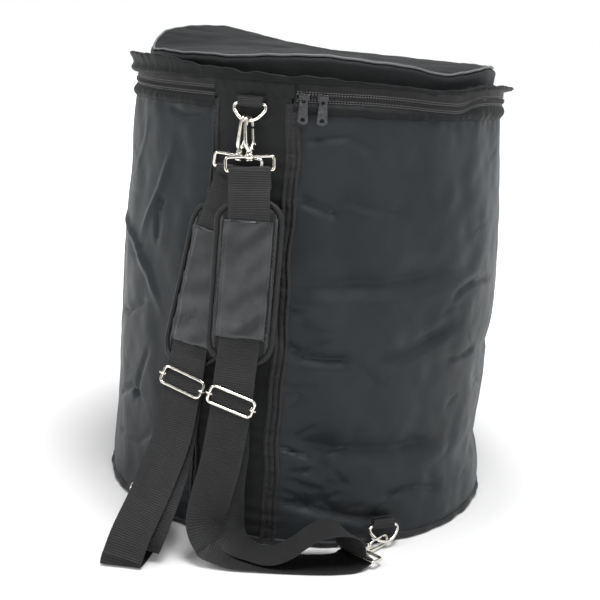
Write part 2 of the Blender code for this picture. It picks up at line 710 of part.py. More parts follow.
def strap(side, bar_up, tip_up, wide_up, bar_low, low_dir, wide_low, main, lower, back, pad_z, patch_z, tri_z):
    """One shoulder strap: webbing, pad, patch and slider frame with its loose bar."""
    w0 = wide_up
    n0 = (-Vector(tip_up)).cross(w0).normalized()
    head = fold(bar_up, -n0, tip_up, w0)
    tail = []
    for dz in (0.022, 0.010):
        p = Vector(bar_up) - n0 * (FOLD_R + 0.0002) - Vector(tip_up).normalized() * dz
        tail.append((p.x, p.y, p.z) + tuple(w0))
    down = catmull([head[-1]] + main, 4)[1:]
    floor = catmull([main[-1]] + lower, 4)[1:]
    turn = fold(bar_low, (0.0, 0.0, -1.0), low_dir, wide_low)
    first_back = catmull([turn[-1]] + back, 4)[1:]
    rows = tail + head + down + floor + turn + first_back
    # The free end passes behind the webbing, round the loose bar and is sewn to itself.
    tri_row = min(down, key=lambda r: abs(r[2] - tri_z))
    i = down.index(tri_row)
    p, t, w, n = frames(down)[i]
    s_axis = -t

    def local(x, y, d):
        return p + w * x + s_axis * y + n * d

    ends = []
    deep = -0.0072
    for y, d in ((-0.030, deep - 0.002), (-0.018, deep), (0.0, deep), (0.016, deep), (0.0205, deep + 0.0009),
                 (0.0220, deep + 0.0027), (0.0205, deep + 0.0045), (0.016, deep + 0.0053),
                 (0.0, deep + 0.0053), (-0.018, deep + 0.0050)):
        q = local(0.0, y, d)
        ends.append((q.x, q.y, q.z, w.x, w.y, w.z))
    rows = rows[:-1] + catmull([rows[-1]] + ends[:2], 3)[:-1] + ends[1:]
    add_object("webbing_" + side, *ribbon(rows, WEB_W, WEB_T), WEBBING, 0.85)

    pad_rows = rows_between(down, pad_z[0], pad_z[1])
    off = -(WEB_T / 2 + 2 * GAP + PAD_T / 2)
    add_object("pad_" + side, *slab(pad_rows, PAD_W, PAD_T, 0.005, off, 0.016), NYLON, 0.75)
    patch_rows = rows_between(down, patch_z[0], patch_z[1])
    off = WEB_T / 2 + 3 * GAP + PATCH_T / 2
    add_object("patch_" + side, *ribbon(patch_rows, PATCH_W, PATCH_T, off), VINYL, 0.35)

    tilt = math.radians(TRI_TILT_DEG)
    ct = math.cos(tilt)
    st = math.sin(tilt)

    def turned(x, y, d):
        return local(x * ct - y * st, x * st + y * ct, d)

    lift = WEB_T / 2 + TRI_WIRE + 0.0003
    corner = 0.005
    frame_path = []
    for sx, sy, a0 in ((1, 1, 0), (-1, 1, 90), (-1, -1, 180), (1, -1, 270)):
        for k in range(4):
            a = math.radians(a0 + 30 * k)
            frame_path.append((sx * (TRI_HALF_W - corner) + corner * math.cos(a),
                               sy * (TRI_HALF_H - corner) + corner * math.sin(a)))
    pts = [turned(x, y, lift) for x, y in frame_path]
    centre = turned(0.0, 0.0, lift)
    add_object("slider_frame_" + side, *wire(pts, TRI_WIRE, closed=True), NICKEL, 0.2, 1.0, centre)
    ring = TRI_WIRE + TRI_BAR_WIRE + 0.0003
    deep_bar = deep + 0.00265
    end_path = []
    for deg in (150, 110, 70, 30, -10, -45):
        a = math.radians(deg)
        end_path.append((TRI_HALF_W + ring * math.cos(a), lift + ring * math.sin(a)))
    end_path += [(TRI_HALF_W + 0.0022, -0.0018), (TRI_HALF_W + 0.0010, deep_bar + 0.0006),
                 (TRI_HALF_W - 0.0020, deep_bar)]
    bar_path = end_path + [(0.0, deep_bar)] + [(-x, d) for x, d in reversed(end_path)]
    pts = [turned(x, 0.0, d) for x, d in bar_path]
    add_object("slider_bar_" + side, *wire(pts, TRI_BAR_WIRE), NICKEL, 0.2, 1.0, turned(0.0, 0.0, deep_bar))


def at(x, y, z, w):
    return (x, y, z, w[0], w[1], w[2])


R18 = tuple(az_dir(18.0))
R14 = tuple(az_dir(14.0))
R10 = tuple(az_dir(10.0))
right_main = [
    at(0.0125, -0.2745, 0.4430, R14), at(0.0150, -0.2795, 0.4260, R10), at(0.0172, -0.2830, 0.4000, R10),
    at(0.0168, -0.2860, 0.3350, R10), at(0.0158, -0.2892, 0.2700, R10), at(0.0152, -0.2930, 0.2380, R14),
    at(0.0149, -0.2980, 0.2150, R14), at(0.0147, -0.3018, 0.1930, R14), at(0.0140, -0.3056, 0.1710, R14),
    at(0.0100, -0.3140, 0.1200, R18), at(0.0030, -0.3220, 0.0780, (0.90, 0.40, 0.0)),
    at(-0.0010, -0.3260, 0.0450, (0.70, 0.68, 0.0)), at(0.0080, -0.3270, 0.0210, (0.40, 0.90, 0.10))]
right_lower = [
    at(0.0320, -0.3200, 0.0080, (-0.10, 0.98, 0.12)), at(0.0600, -0.3100, 0.0025, (-0.36, 0.93, 0.0)),
    at(0.1000, -0.2950, 0.0010, (-0.45, 0.89, 0.0)), at(0.1350, -0.2800, 0.0010, (-0.66, 0.75, 0.0)),
    at(0.1550, -0.2680, 0.0022, (-0.88, 0.46, 0.0)), at(0.1625, -0.2610, 0.0046, (-0.92, 0.40, 0.0))]
right_back = [
    at(0.1625, -0.2625, 0.0190, (-0.92, 0.40, 0.0)), at(0.1600, -0.2660, 0.0380, (-0.85, 0.52, 0.0)),
    at(0.1450, -0.2740, 0.0490, (-0.55, 0.83, 0.0)), at(0.1220, -0.2840, 0.0420, (-0.42, 0.90, 0.0)),
    at(0.0980, -0.2930, 0.0210, (-0.42, 0.90, 0.0)), at(0.0760, -0.2985, 0.0090, (-0.38, 0.92, 0.0)),
    at(0.0520, -0.2990, 0.0070, (-0.22, 0.97, 0.0)), at(0.0300, -0.3000, 0.0145, (0.15, 0.98, 0.10)),
    at(0.0170, -0.3005, 0.0340, (0.60, 0.80, 0.10)), at(0.0110, -0.2990, 0.0620, (0.88, 0.48, 0.0)),
    at(0.0100, -0.2970, 0.0920, (0.93, 0.36, 0.0)), at(0.0120, -0.2955, 0.1250, R14)]
left_main = [
    at(-0.0105, -0.2640, 0.4440, az_dir(6.0)), at(-0.0180, -0.2645, 0.4260, az_dir(-4.0)),
    at(-0.0260, -0.2640, 0.4050, az_dir(-10.0)), at(-0.0320, -0.2640, 0.3830, az_dir(-12.0)),
    at(-0.0420, -0.2700, 0.3150, az_dir(-12.0)), at(-0.0510, -0.2775, 0.2460, az_dir(-8.0)),
    at(-0.0520, -0.2843, 0.2240, az_dir(-2.0)), at(-0.0522, -0.2920, 0.2020, az_dir(0.0)),
    at(-0.0524, -0.2997, 0.1800, az_dir(2.0)), at(-0.0545, -0.3150, 0.1373, az_dir(6.0)),
    at(-0.0638, -0.3430, 0.0830, az_dir(10.0)), at(-0.0730, -0.3720, 0.0400, az_dir(12.0)),
    at(-0.0770, -0.3880, 0.0120, az_dir(13.0))]
left_lower = [
    at(-0.0785, -0.3880, 0.0035, az_dir(14.0)), at(-0.0800, -0.3800, 0.0009, az_dir(15.0)),
    at(-0.0835, -0.3500, 0.0009, az_dir(20.0)), at(-0.0900, -0.3180, 0.0012, az_dir(30.0)),
    at(-0.0986, -0.2915, 0.0046, az_dir(37.0))]
left_back = [
    at(-0.0930, -0.2990, 0.0165, az_dir(37.0)), at(-0.0835, -0.3200, 0.0180, az_dir(28.0)),
    at(-0.0750, -0.3450, 0.0130, az_dir(18.0)), at(-0.0690, -0.3620, 0.0140, az_dir(14.0)),
    at(-0.0630, -0.3660, 0.0250, az_dir(12.0)), at(-0.0585, -0.3590, 0.0430, az_dir(12.0)),
    at(-0.0540, -0.3420, 0.0720, az_dir(10.0)), at(-0.0520, -0.3230, 0.1020, az_dir(8.0)),
    at(-0.0515, -0.3070, 0.1350, az_dir(4.0))]
strap("right", BAR_UR, TIP_UR, WIDE_UR, BAR_LR, TIP_LR, WIDE_LR, right_main, right_lower, right_back,
      (0.4245, 0.2380), (0.4060, 0.2640), 0.1930)
strap("left", BAR_UL, TIP_UL, WIDE_UL, BAR_LL, TIP_LL, WIDE_LL, left_main, left_lower, left_back,
      (0.4060, 0.2250), (0.3860, 0.2440), 0.2020)
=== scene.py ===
"""Round padded drum bag: zipped lid, soft slumped wall, two clip-on shoulder straps with pads.

Metres, +Z up, the strap panel faces -Y. Azimuths are measured from -Y towards +X.
"""

import math
import random

import bmesh
import bpy
import numpy as np
from mathutils import Matrix, Vector
from mathutils.bvhtree import BVHTree


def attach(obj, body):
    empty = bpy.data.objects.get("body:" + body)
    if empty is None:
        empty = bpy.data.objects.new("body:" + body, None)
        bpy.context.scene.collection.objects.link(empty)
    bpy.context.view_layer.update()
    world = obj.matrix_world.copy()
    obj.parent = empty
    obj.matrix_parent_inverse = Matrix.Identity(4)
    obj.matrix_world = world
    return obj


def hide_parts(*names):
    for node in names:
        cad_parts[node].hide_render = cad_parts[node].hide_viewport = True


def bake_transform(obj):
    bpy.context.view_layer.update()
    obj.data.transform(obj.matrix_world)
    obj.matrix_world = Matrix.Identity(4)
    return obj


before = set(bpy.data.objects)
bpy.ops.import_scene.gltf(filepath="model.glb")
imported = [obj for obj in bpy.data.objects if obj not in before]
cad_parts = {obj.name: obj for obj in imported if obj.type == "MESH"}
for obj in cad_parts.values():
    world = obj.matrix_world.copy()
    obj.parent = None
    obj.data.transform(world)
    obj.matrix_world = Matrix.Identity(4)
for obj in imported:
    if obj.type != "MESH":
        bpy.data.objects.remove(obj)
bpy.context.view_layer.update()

# ---- driving dimensions, the same as the CAD's except for the pads' width ----
R_BASE = 0.266
R_TOP = 0.245
WALL_TOP = 0.5295
FOAM_TOP = 0.5375
ZIP_Z = 0.543
PANEL_DEG = 10.8
ZIP_END_DEG = 11.2
SLIDERS = {"a": 14.0, "b": 19.0}
SLIDER_FACE = 0.0028
LID_R = 0.2285
WEB_W = 0.0480
WEB_T = 0.0015
RIB_PITCH = 0.0027
GAP = 0.0003
RING_W = 0.0420
RING_H = 0.0240
RING_WIRE = 0.0020
BASE_W = 0.0590
BASE_WIRE = 0.0019
SHOULDER_U = 0.0155
HOOK_WIRE = 0.0017
HOOK_END_U = 0.0625
HOOK_HALF = 0.0066
HOOK_SEAT_U = 0.0562
TRI_HALF_W = 0.02725
TRI_HALF_H = 0.01025
TRI_WIRE = 0.00175
TRI_BAR_WIRE = 0.0014
TRI_TILT_DEG = -14.0
PAD_W = 0.0745  # before its corded edge, which brings it to about the CAD's 0.080
PAD_T = 0.0085
PATCH_W = 0.0580
PULL_L = 0.0310
PULL_W = 0.0120

# ---- numbers used throughout ----
TAU = 2.0 * math.pi
UP = np.array((0.0, 0.0, 1.0))
WALL_R = 0.255  # the wall's middling radius, which turns azimuths into lengths
DISC_R = 0.23  # the same for the round plates' soft unevenness
PAD_CHANNEL = 0.0300  # from a shoulder pad's middle to its sewn channels

# ---- the wall's soft shape: (height, standing out) at its right side, left side and back ----
RIGHT_SIDE = [(0.0, -0.0005), (0.040, -0.0010), (0.075, -0.0065), (0.160, -0.0030), (0.225, 0.0010),
              (0.260, 0.0060), (0.315, 0.0075), (0.380, 0.0060), (0.470, 0.0010), (0.540, -0.0025)]
LEFT_SIDE = [(0.0, 0.0), (0.040, 0.0), (0.210, 0.0020), (0.275, 0.0030), (0.340, 0.0040),
             (0.385, 0.0040), (0.430, 0.0020), (0.500, 0.0018), (0.540, -0.0005)]
BACK_SIDE = [(0.0, 0.0), (0.060, -0.0030), (0.150, 0.0010), (0.230, -0.0020), (0.330, 0.0050),
             (0.430, 0.0010), (0.540, -0.0010)]

# ---- slump folds: line of (azimuth, height), depth, run above the line, run below it ----
FOLDS = [
    ([(12, 0.495), (20, 0.501), (27, 0.505), (36, 0.480)], 0.0030, 0.018, 0.014),
    ([(13, 0.431), (19, 0.422), (26, 0.411)], 0.0042, 0.016, 0.014),
    ([(22, 0.438), (31, 0.428), (46, 0.414)], 0.0036, 0.024, 0.018),
    ([(12, 0.328), (24, 0.330), (36, 0.332), (50, 0.337), (66, 0.347)], 0.0070, 0.036, 0.028),
    ([(12, 0.264), (15, 0.249), (18, 0.241), (24, 0.239), (33, 0.239)], 0.0050, 0.016, 0.014),
    ([(31, 0.239), (35, 0.225), (40, 0.206)], 0.0018, 0.010, 0.006),
    ([(35, 0.243), (45, 0.243), (55, 0.259), (65, 0.276)], 0.0042, 0.022, 0.016),
    ([(62, 0.230), (70, 0.228), (80, 0.232)], 0.0024, 0.016, 0.007),
    ([(61, 0.303), (66, 0.318), (73, 0.326), (84, 0.320)], 0.0028, 0.012, 0.008),
    ([(14, 0.138), (27, 0.128), (47, 0.122), (68, 0.119)], 0.0088, 0.040, 0.028),
    ([(13, 0.126), (17, 0.121), (22, 0.114)], 0.0040, 0.006, 0.005),
    ([(19, 0.094), (23, 0.102), (27, 0.112)], 0.0026, 0.008, 0.006),
    ([(40, 0.061), (54, 0.065), (66, 0.050)], 0.0036, 0.018, 0.010),
    ([(13, 0.060), (31, 0.040), (50, 0.026)], 0.0055, 0.028, 0.010),
    ([(12, 0.300), (15, 0.297), (18, 0.298)], 0.0020, 0.005, 0.004),
    ([(12, 0.205), (17, 0.203), (24, 0.206)], 0.0014, 0.006, 0.005),
    ([(74, 0.236), (92, 0.222), (116, 0.228), (140, 0.215)], 0.0018, 0.030, 0.016),
    ([(66, 0.105), (84, 0.078), (110, 0.083), (132, 0.098)], 0.0018, 0.030, 0.020),
    ([(120, 0.370), (150, 0.352), (178, 0.360)], 0.0060, 0.034, 0.010),
    ([(-176, 0.252), (-150, 0.240), (-122, 0.250)], 0.0055, 0.030, 0.009),
    ([(134, 0.150), (160, 0.136), (178, 0.142)], 0.0060, 0.034, 0.010),
    ([(-172, 0.116), (-140, 0.104), (-104, 0.114)], 0.0055, 0.032, 0.012),
    ([(-150, 0.418), (-124, 0.402), (-98, 0.410)], 0.0040, 0.026, 0.010),
    ([(-100, 0.200), (-82, 0.188), (-64, 0.196)], 0.0030, 0.020, 0.010),
    ([(-56, 0.238), (-46, 0.246), (-34, 0.276)], 0.0032, 0.010, 0.008),
    ([(-52, 0.121), (-40, 0.150), (-33, 0.138)], 0.0030, 0.009, 0.008),
    ([(-52, 0.072), (-34, 0.084), (-26, 0.108)], 0.0024, 0.010, 0.008),
    ([(-30, 0.520), (-22, 0.512), (-14, 0.516)], 0.0020, 0.012, 0.008),
    ([(-29, 0.414), (-31, 0.384), (-31, 0.350)], 0.0045, 0.012, 0.008),
    ([(-31, 0.217), (-36, 0.171), (-38, 0.128)], 0.0024, 0.010, 0.008),
]
# ---- sharp ridges, in the same form ----
RIDGES = [
    ([(-62, 0.376), (-44, 0.346), (-34, 0.308), (-27, 0.266)], -0.0042, 0.009, 0.015),
    ([(-26, 0.468), (-30, 0.417), (-36, 0.375), (-40, 0.350)], -0.0036, 0.008, 0.012),
    ([(-40, 0.505), (-42, 0.470), (-47, 0.430)], -0.0014, 0.010, 0.014),
]

# ---- lid and zip, in rows of (azimuth, value): the height of the lid's piped edge, the height of the
# ---- flap over the zip, how far that flap stands out, and how far the zip waves up or down ----
PIPE_Z = [(-180, 0.590), (-153, 0.599), (-137, 0.610), (-121, 0.6200), (-103, 0.6160), (-88, 0.6085),
          (-76, 0.597), (-66, 0.5865), (-45, 0.5838), (-21, 0.5828), (-8, 0.5835), (4, 0.5865),
          (15, 0.5895), (26, 0.5875), (38, 0.5850), (48, 0.5805), (56, 0.5765), (67, 0.5795),
          (78, 0.5855), (100, 0.5865), (124, 0.5880), (148, 0.5885), (180, 0.590)]
FLAP_Z = [(-180, 0.573), (-120, 0.5765), (-70, 0.5765), (-39, 0.5790), (-26, 0.5760), (-16, 0.5718),
          (-5, 0.5685), (6, 0.5665), (23, 0.5655), (31, 0.5640), (39, 0.5605), (48, 0.5560),
          (57, 0.5590), (66, 0.5640), (76, 0.5670), (90, 0.5640), (106, 0.5600), (140, 0.570),
          (180, 0.573)]
FLAP_OUT = [(-180, 0.0060), (-100, 0.0080), (-60, 0.0105), (-38, 0.0080), (-12, 0.0045), (20, 0.0040),
            (50, 0.0055), (78, 0.0065), (96, 0.0095), (103, 0.0125), (110, 0.0080), (140, 0.0060),
            (180, 0.0060)]
ZIP_WAVE = [(-180, 0.0), (-60, 0.0015), (-34, 0.0), (-26, 0.0), (-8, 0.0), (12, 0.0), (26, 0.0005),
            (32, 0.0005), (42, -0.0010), (54, -0.0042), (61, -0.0045), (69, 0.0030), (78, 0.0050),
            (92, 0.0025), (110, 0.0), (180, 0.0)]


# ------------------------------------------------------------------ numbers
def smoothstep(v):
    v = np.clip(v, 0.0, 1.0)
    return v * v * (3.0 - 2.0 * v)


def along_rows(rows, x):
    """Smooth value of given (x, value) rows at x."""
    xs = np.array([r[0] for r in rows], float)
    ys = np.array([r[1] for r in rows], float)
    slopes = np.gradient(ys, xs)
    x = np.clip(np.asarray(x, float), xs[0], xs[-1])
    i = np.clip(np.searchsorted(xs, x) - 1, 0, len(xs) - 2)
    h = xs[i + 1] - xs[i]
    t = (x - xs[i]) / h
    t2 = t * t
    t3 = t2 * t
    out = (2 * t3 - 3 * t2 + 1) * ys[i] + (t3 - 2 * t2 + t) * h * slopes[i]
    return out + (3 * t2 - 2 * t3) * ys[i + 1] + (t3 - t2) * h * slopes[i + 1]


def wrap_deg(az):
    return (np.asarray(az, float) + 180.0) % 360.0 - 180.0


def bump(az, middle, reach):
    """1 at an azimuth, easing to 0 a reach away."""
    return 1.0 - smoothstep(np.abs(wrap_deg(az - middle)) / reach)


def ripple(az, z, seed, count, turns, lowest_wave):
    """Smooth seeded unevenness on the bag's round, from about -1 to 1."""
    rng = random.Random(seed)
    a = np.radians(az)
    total = np.zeros(np.broadcast(a, z).shape)
    for _ in range(count):
        k = rng.randint(turns[0], turns[1])
        m = rng.uniform(-1.0, 1.0) * TAU / lowest_wave
        total = total + np.cos(k * a + m * z + rng.uniform(0.0, TAU))
    return total / math.sqrt(count)


def field(share, degs, seed, count, shortest):
    """Smooth seeded unevenness over a round plate, from about -1 to 1."""
    rng = random.Random(seed)
    x = share * DISC_R * np.sin(np.radians(degs))
    y = -share * DISC_R * np.cos(np.radians(degs))
    total = 0.0
    for _ in range(count):
        turn = rng.uniform(0.0, TAU)
        wave = TAU / rng.uniform(shortest, 3.0 * shortest)
        total = total + np.cos(wave * (x * math.cos(turn) + y * math.sin(turn)) + rng.uniform(0.0, TAU))
    return total / math.sqrt(count)


def wall_r(z):
    t = np.clip(np.asarray(z, float) / WALL_TOP, 0.0, 1.0)
    return R_BASE + (R_TOP - R_BASE) * t


def polar(r, deg, z):
    """Points at azimuths from -Y towards +X."""
    a = np.radians(deg)
    r, a, z = np.broadcast_arrays(r, a, z)
    return np.stack([r * np.sin(a), -r * np.cos(a), z], -1)


def azimuth_dir(deg):
    """The level direction along the wall at an azimuth."""
    return np.array((math.cos(math.radians(deg)), math.sin(math.radians(deg)), 0.0))


def line_shape(az, z, lines):
    """How far folds or ridges push the wall in; each eases out at its two ends."""
    total = np.zeros(np.shape(az))
    for pts, depth, above, below in lines:
        middle = 0.5 * (pts[0][0] + pts[-1][0])
        all_x = np.radians(middle + wrap_deg(az - middle)) * WALL_R
        nodes = np.array([(math.radians(a) * WALL_R, h) for a, h in pts])
        reach = max(above, below)
        low = nodes.min(0) - reach
        high = nodes.max(0) + reach
        near = (all_x > low[0]) & (all_x < high[0]) & (z > low[1]) & (z < high[1])
        if not near.any():
            continue
        x = all_x[near]
        h = z[near]
        steps = np.linalg.norm(np.diff(nodes, axis=0), axis=1)
        best = np.full(x.shape, 1e9)
        signed = np.zeros(x.shape)
        where = np.zeros(x.shape)
        done = 0.0
        for i, step in enumerate(steps):
            d = (nodes[i + 1] - nodes[i]) / step
            rx = x - nodes[i, 0]
            rz = h - nodes[i, 1]
            t = np.clip(rx * d[0] + rz * d[1], 0.0, step)
            dist = np.hypot(rx - t * d[0], rz - t * d[1])
            side = np.sign(d[0] * rz - d[1] * rx)
            nearer = dist < best
            best = np.where(nearer, dist, best)
            signed = np.where(nearer, side * dist, signed)
            where = np.where(nearer, (done + t) / steps.sum(), where)
            done += step
        run = np.where(signed >= 0.0, above, below)
        ease = smoothstep(where / 0.22) * smoothstep((1.0 - where) / 0.22)
        share = np.clip(best / run, 0.0, 1.0)
        fall = np.where(signed >= 0.0, (1.0 - share) ** 2, 1.0 - smoothstep(share))
        total[near] += depth * fall * (0.15 + 0.85 * ease)
    return total


def wall_out(az, z):
    """How far the slumped wall stands out from its plain taper."""
    az = wrap_deg(az)
    z = np.asarray(z, float)
    az, z = np.broadcast_arrays(az, z)
    out = bump(az, 97, 72) * along_rows(RIGHT_SIDE, z) + bump(az, -61, 62) * along_rows(LEFT_SIDE, z)
    out = out + bump(az, 180, 80) * along_rows(BACK_SIDE, z)
    free = smoothstep((np.abs(az) - 11.0) / 9.0)
    edge = smoothstep(z / 0.02) * smoothstep((WALL_TOP + 0.004 - z) / 0.018)
    out = out - edge * np.minimum(1.5 * line_shape(az, z, FOLDS), 0.0135)
    out = out - 1.2 * edge * line_shape(az, z, RIDGES)
    out = out - edge * np.minimum(line_shape(az, z, SMALL_CREASES), 0.004)
    free = free * (1.0 - 0.6 * bump(az, 92, 45)) * (1.0 - 0.45 * bump(az, -58, 50))
    out = out + free * edge * (0.0018 * ripple(az, z, 3, 14, (5, 22), 0.11)
                               + 0.0006 * ripple(az, z, 7, 16, (20, 60), 0.04))
    near_seam = np.exp(-np.maximum(np.abs(az) - 11.4, 0.0) / 3.2)
    pucker = np.cos(z * TAU / 0.0185 + 2.2 * np.sin(z * 37.0)) * (0.6 + 0.4 * np.sin(z * 61.0))
    out = out + near_seam * edge * (0.0009 * pucker - 0.0006)
    panel = 1.0 - smoothstep((np.abs(az) - 8.5) / 2.2)
    out = out + panel * (0.0007 * ripple(az * 3.0, z, 17, 10, (3, 16), 0.10) * smoothstep(z / 0.03) - 0.0004)
    near_top = np.exp(-np.maximum(WALL_TOP - z, 0.0) / 0.010)
    out = out + near_top * 0.0007 * np.cos(np.radians(az) * 71 + 3 * np.sin(np.radians(az) * 5))
    return out


def crinkles(seed, count, area, depth):
    """Short creases scattered in an area (azimuths, heights) of the wall, lying mostly level."""
    rng = random.Random(seed)
    lines = []
    for _ in range(count):
        a0 = rng.uniform(area[0], area[1])
        z0 = rng.uniform(area[2], area[3])
        span_deg = rng.uniform(5.0, 14.0)
        lean = rng.uniform(-0.035, 0.035)
        bow = rng.uniform(-0.008, 0.008)
        pts = [(a0, z0), (a0 + span_deg / 2, z0 + lean / 2 + bow), (a0 + span_deg, z0 + lean)]
        deep = depth * rng.uniform(0.5, 1.0)
        lines.append((pts, deep, rng.uniform(0.006, 0.014), rng.uniform(0.004, 0.008)))
    return lines


def wall_point(az, z, off=0.0):
    return polar(wall_r(z) + wall_out(az, z) + off, az, z)


SMALL_CREASES = (
    crinkles(61, 12, (13, 18, 0.02, 0.50), 0.0030)
    + crinkles(62, 22, (20, 84, 0.03, 0.50), 0.0016)
    + crinkles(63, 12, (13, 40, 0.02, 0.14), 0.0026)
    + crinkles(64, 10, (-62, -26, 0.02, 0.50), 0.0010)
    + crinkles(65, 24, (112, 278, 0.03, 0.50), 0.0020))


# ------------------------------------------------------------------ materials
def add_node(tree, kind, values=None, links=None, **settings):
    """A new shader node, with its settings, its inputs' values and the outputs that feed them."""
    node = tree.nodes.new("ShaderNode" + kind)
    for key, value in settings.items():
        setattr(node, key, value)
    set_inputs(node, values or {})
    for key, output in (links or {}).items():
        tree.links.new(output, node.inputs[key])
    return node


def set_inputs(node, values):
    for key, value in values.items():
        node.inputs[key].default_value = value


def nodes_of(name, **values):
    """A new material, with values for its Principled BSDF's inputs, their names joined by _."""
    mat = bpy.data.materials.new(name)
    mat.use_nodes = True
    bsdf = mat.node_tree.nodes["Principled BSDF"]
    set_inputs(bsdf, {key.replace("_", " "): value for key, value in values.items()})
    return mat, mat.node_tree, bsdf


def place(tree, scale=(1.0, 1.0, 1.0)):
    coord = add_node(tree, "TexCoord")
    return add_node(tree, "Mapping", {"Scale": scale}, {"Vector": coord.outputs["Object"]}).outputs["Vector"]


def noise_node(tree, where, scale, detail=3.0, rough=0.55):
    values = {"Scale": scale, "Detail": detail, "Roughness": rough}
    return add_node(tree, "TexNoise", values, {"Vector": where}).outputs["Fac"]


def span(tree, value, low, high, out_low, out_high):
    values = {"From Min": low, "From Max": high, "To Min": out_low, "To Max": out_high}
    return add_node(tree, "MapRange", values, {"Value": value}).outputs["Result"]


def ramp_by(tree, bsdf, share, dark, light):
    ramp = add_node(tree, "ValToRGB", links={"Fac": share})
    ramp.color_ramp.elements[0].color = (*dark, 1.0)
    ramp.color_ramp.elements[1].color = (*light, 1.0)
    tree.links.new(ramp.outputs["Color"], bsdf.inputs["Base Color"])


def colour_by(tree, bsdf, value, low, high, dark, light):
    """The colour goes from dark to light as the value goes from low to high."""
    ramp_by(tree, bsdf, span(tree, value, low, high, 0.0, 1.0), dark, light)


def rough_by(tree, bsdf, value, first, last):
    tree.links.new(span(tree, value, 0.3, 0.7, first, last), bsdf.inputs["Roughness"])


def add_bump(tree, bsdf, height, strength, distance, below=None):
    links = {"Height": height}
    if below is not None:
        links["Normal"] = below
    node = add_node(tree, "Bump", {"Strength": strength, "Distance": distance}, links)
    tree.links.new(node.outputs["Normal"], bsdf.inputs["Normal"])
    return node.outputs["Normal"]


def cloth_material(name, dark, light, rough=0.5, sheen=0.07, weave=2600.0, weave_strength=0.25,
                   crumple=0.25, shine=0.15):
    """Coated nylon cloth: fine plain weave, faint wrinkles, cloudy wear and a soft sheen."""
    mat, tree, bsdf = nodes_of(name, Specular_IOR_Level=shine, Sheen_Weight=sheen,
                               Sheen_Roughness=0.45, Sheen_Tint=(0.72, 0.80, 0.86, 1.0))
    where = place(tree)
    cloud = noise_node(tree, where, 9.0, 4.0)
    streak = noise_node(tree, place(tree, (60.0, 60.0, 2600.0)), 1.0, 2.0)
    mix = add_node(tree, "Math", {1: 0.35}, {0: streak, 2: cloud}, operation="MULTIPLY_ADD")
    colour_by(tree, bsdf, mix.outputs[0], 0.35, 0.95, dark, light)
    rough_by(tree, bsdf, noise_node(tree, where, 14.0), rough - 0.06, rough + 0.06)
    soft = add_bump(tree, bsdf, noise_node(tree, where, 38.0, 5.0, 0.6), crumple, 0.004)
    threads = noise_node(tree, place(tree, (weave, weave, weave * 0.25)), 1.0, 1.0)
    add_bump(tree, bsdf, threads, weave_strength, 0.0003, soft)
    return mat


def webbing_material(name, dark, light):
    """Ribbed webbing: diagonal yarn over the ribs, dull with a slight nylon glint."""
    mat, tree, bsdf = nodes_of(name, Sheen_Weight=0.05, Specular_IOR_Level=0.28)
    where = place(tree)
    yarn = noise_node(tree, place(tree, (1500.0, 1500.0, 700.0)), 1.0, 2.0)
    colour_by(tree, bsdf, yarn, 0.3, 0.7, dark, light)
    rough_by(tree, bsdf, noise_node(tree, where, 60.0), 0.5, 0.68)
    add_bump(tree, bsdf, yarn, 0.45, 0.0005)
    return mat


def vinyl_material(name):
    """Semi-gloss grained vinyl, paler and glossier in cloudy patches; the paler colour is a painted highlight
    standing in for the highlights on its wrinkles.
    """
    mat, tree, bsdf = nodes_of(name, Specular_IOR_Level=0.45, Coat_Weight=0.12, Coat_Roughness=0.3)
    where = place(tree)
    cell = add_node(tree, "TexVoronoi", {"Scale": 900.0}, {"Vector": where}, feature="DISTANCE_TO_EDGE")
    highlight_patches = noise_node(tree, where, 42.0, 4.0)
    # painted highlight: the cloudy patches get a paler colour that stands in for highlights on the patch's
    # wrinkles
    colour_by(tree, bsdf, highlight_patches, 0.35, 0.7, (0.0080, 0.0088, 0.0100), (0.0190, 0.0206, 0.0226))
    rough_by(tree, bsdf, highlight_patches, 0.50, 0.26)
    soft = add_bump(tree, bsdf, noise_node(tree, where, 120.0, 3.0), 0.3, 0.0012)
    add_bump(tree, bsdf, cell.outputs["Distance"], 0.35, 0.0004, soft)
    return mat


def mesh_material(name):
    """Spacer mesh: small round holes between knitted yarn."""
    mat, tree, bsdf = nodes_of(name, Roughness=0.72, Sheen_Weight=0.06)
    cell = add_node(tree, "TexVoronoi", {"Scale": 420.0, "Randomness": 0.25}, {"Vector": place(tree)})
    hole = span(tree, cell.outputs["Distance"], 0.15, 0.6, 0.0, 1.0)
    ramp_by(tree, bsdf, hole, (0.006, 0.006, 0.007), (0.028, 0.029, 0.031))
    add_bump(tree, bsdf, hole, 0.7, 0.0010)
    return mat


def metal_material(name, colour, rough, worn):
    """Plated metal, with faint polishing marks and duller worn spots."""
    mat, tree, bsdf = nodes_of(name, Metallic=1.0)
    where = place(tree)
    colour_by(tree, bsdf, noise_node(tree, where, 300.0, 3.0), 0.3, 0.75, worn, colour)
    rough_by(tree, bsdf, noise_node(tree, where, 160.0), rough * 0.75, rough * 1.5)
    marks = noise_node(tree, place(tree, (2200.0, 2200.0, 180.0)), 1.0, 2.0)
    add_bump(tree, bsdf, marks, 0.06, 0.0002)
    return mat


def thread_material(name, colour):
    mat, tree, bsdf = nodes_of(name, Roughness=0.5)
    twist = noise_node(tree, place(tree), 2400.0, 1.0)
    colour_by(tree, bsdf, twist, 0.3, 0.7, tuple(c * 0.6 for c in colour), colour)
    add_bump(tree, bsdf, twist, 0.4, 0.0003)
    return mat


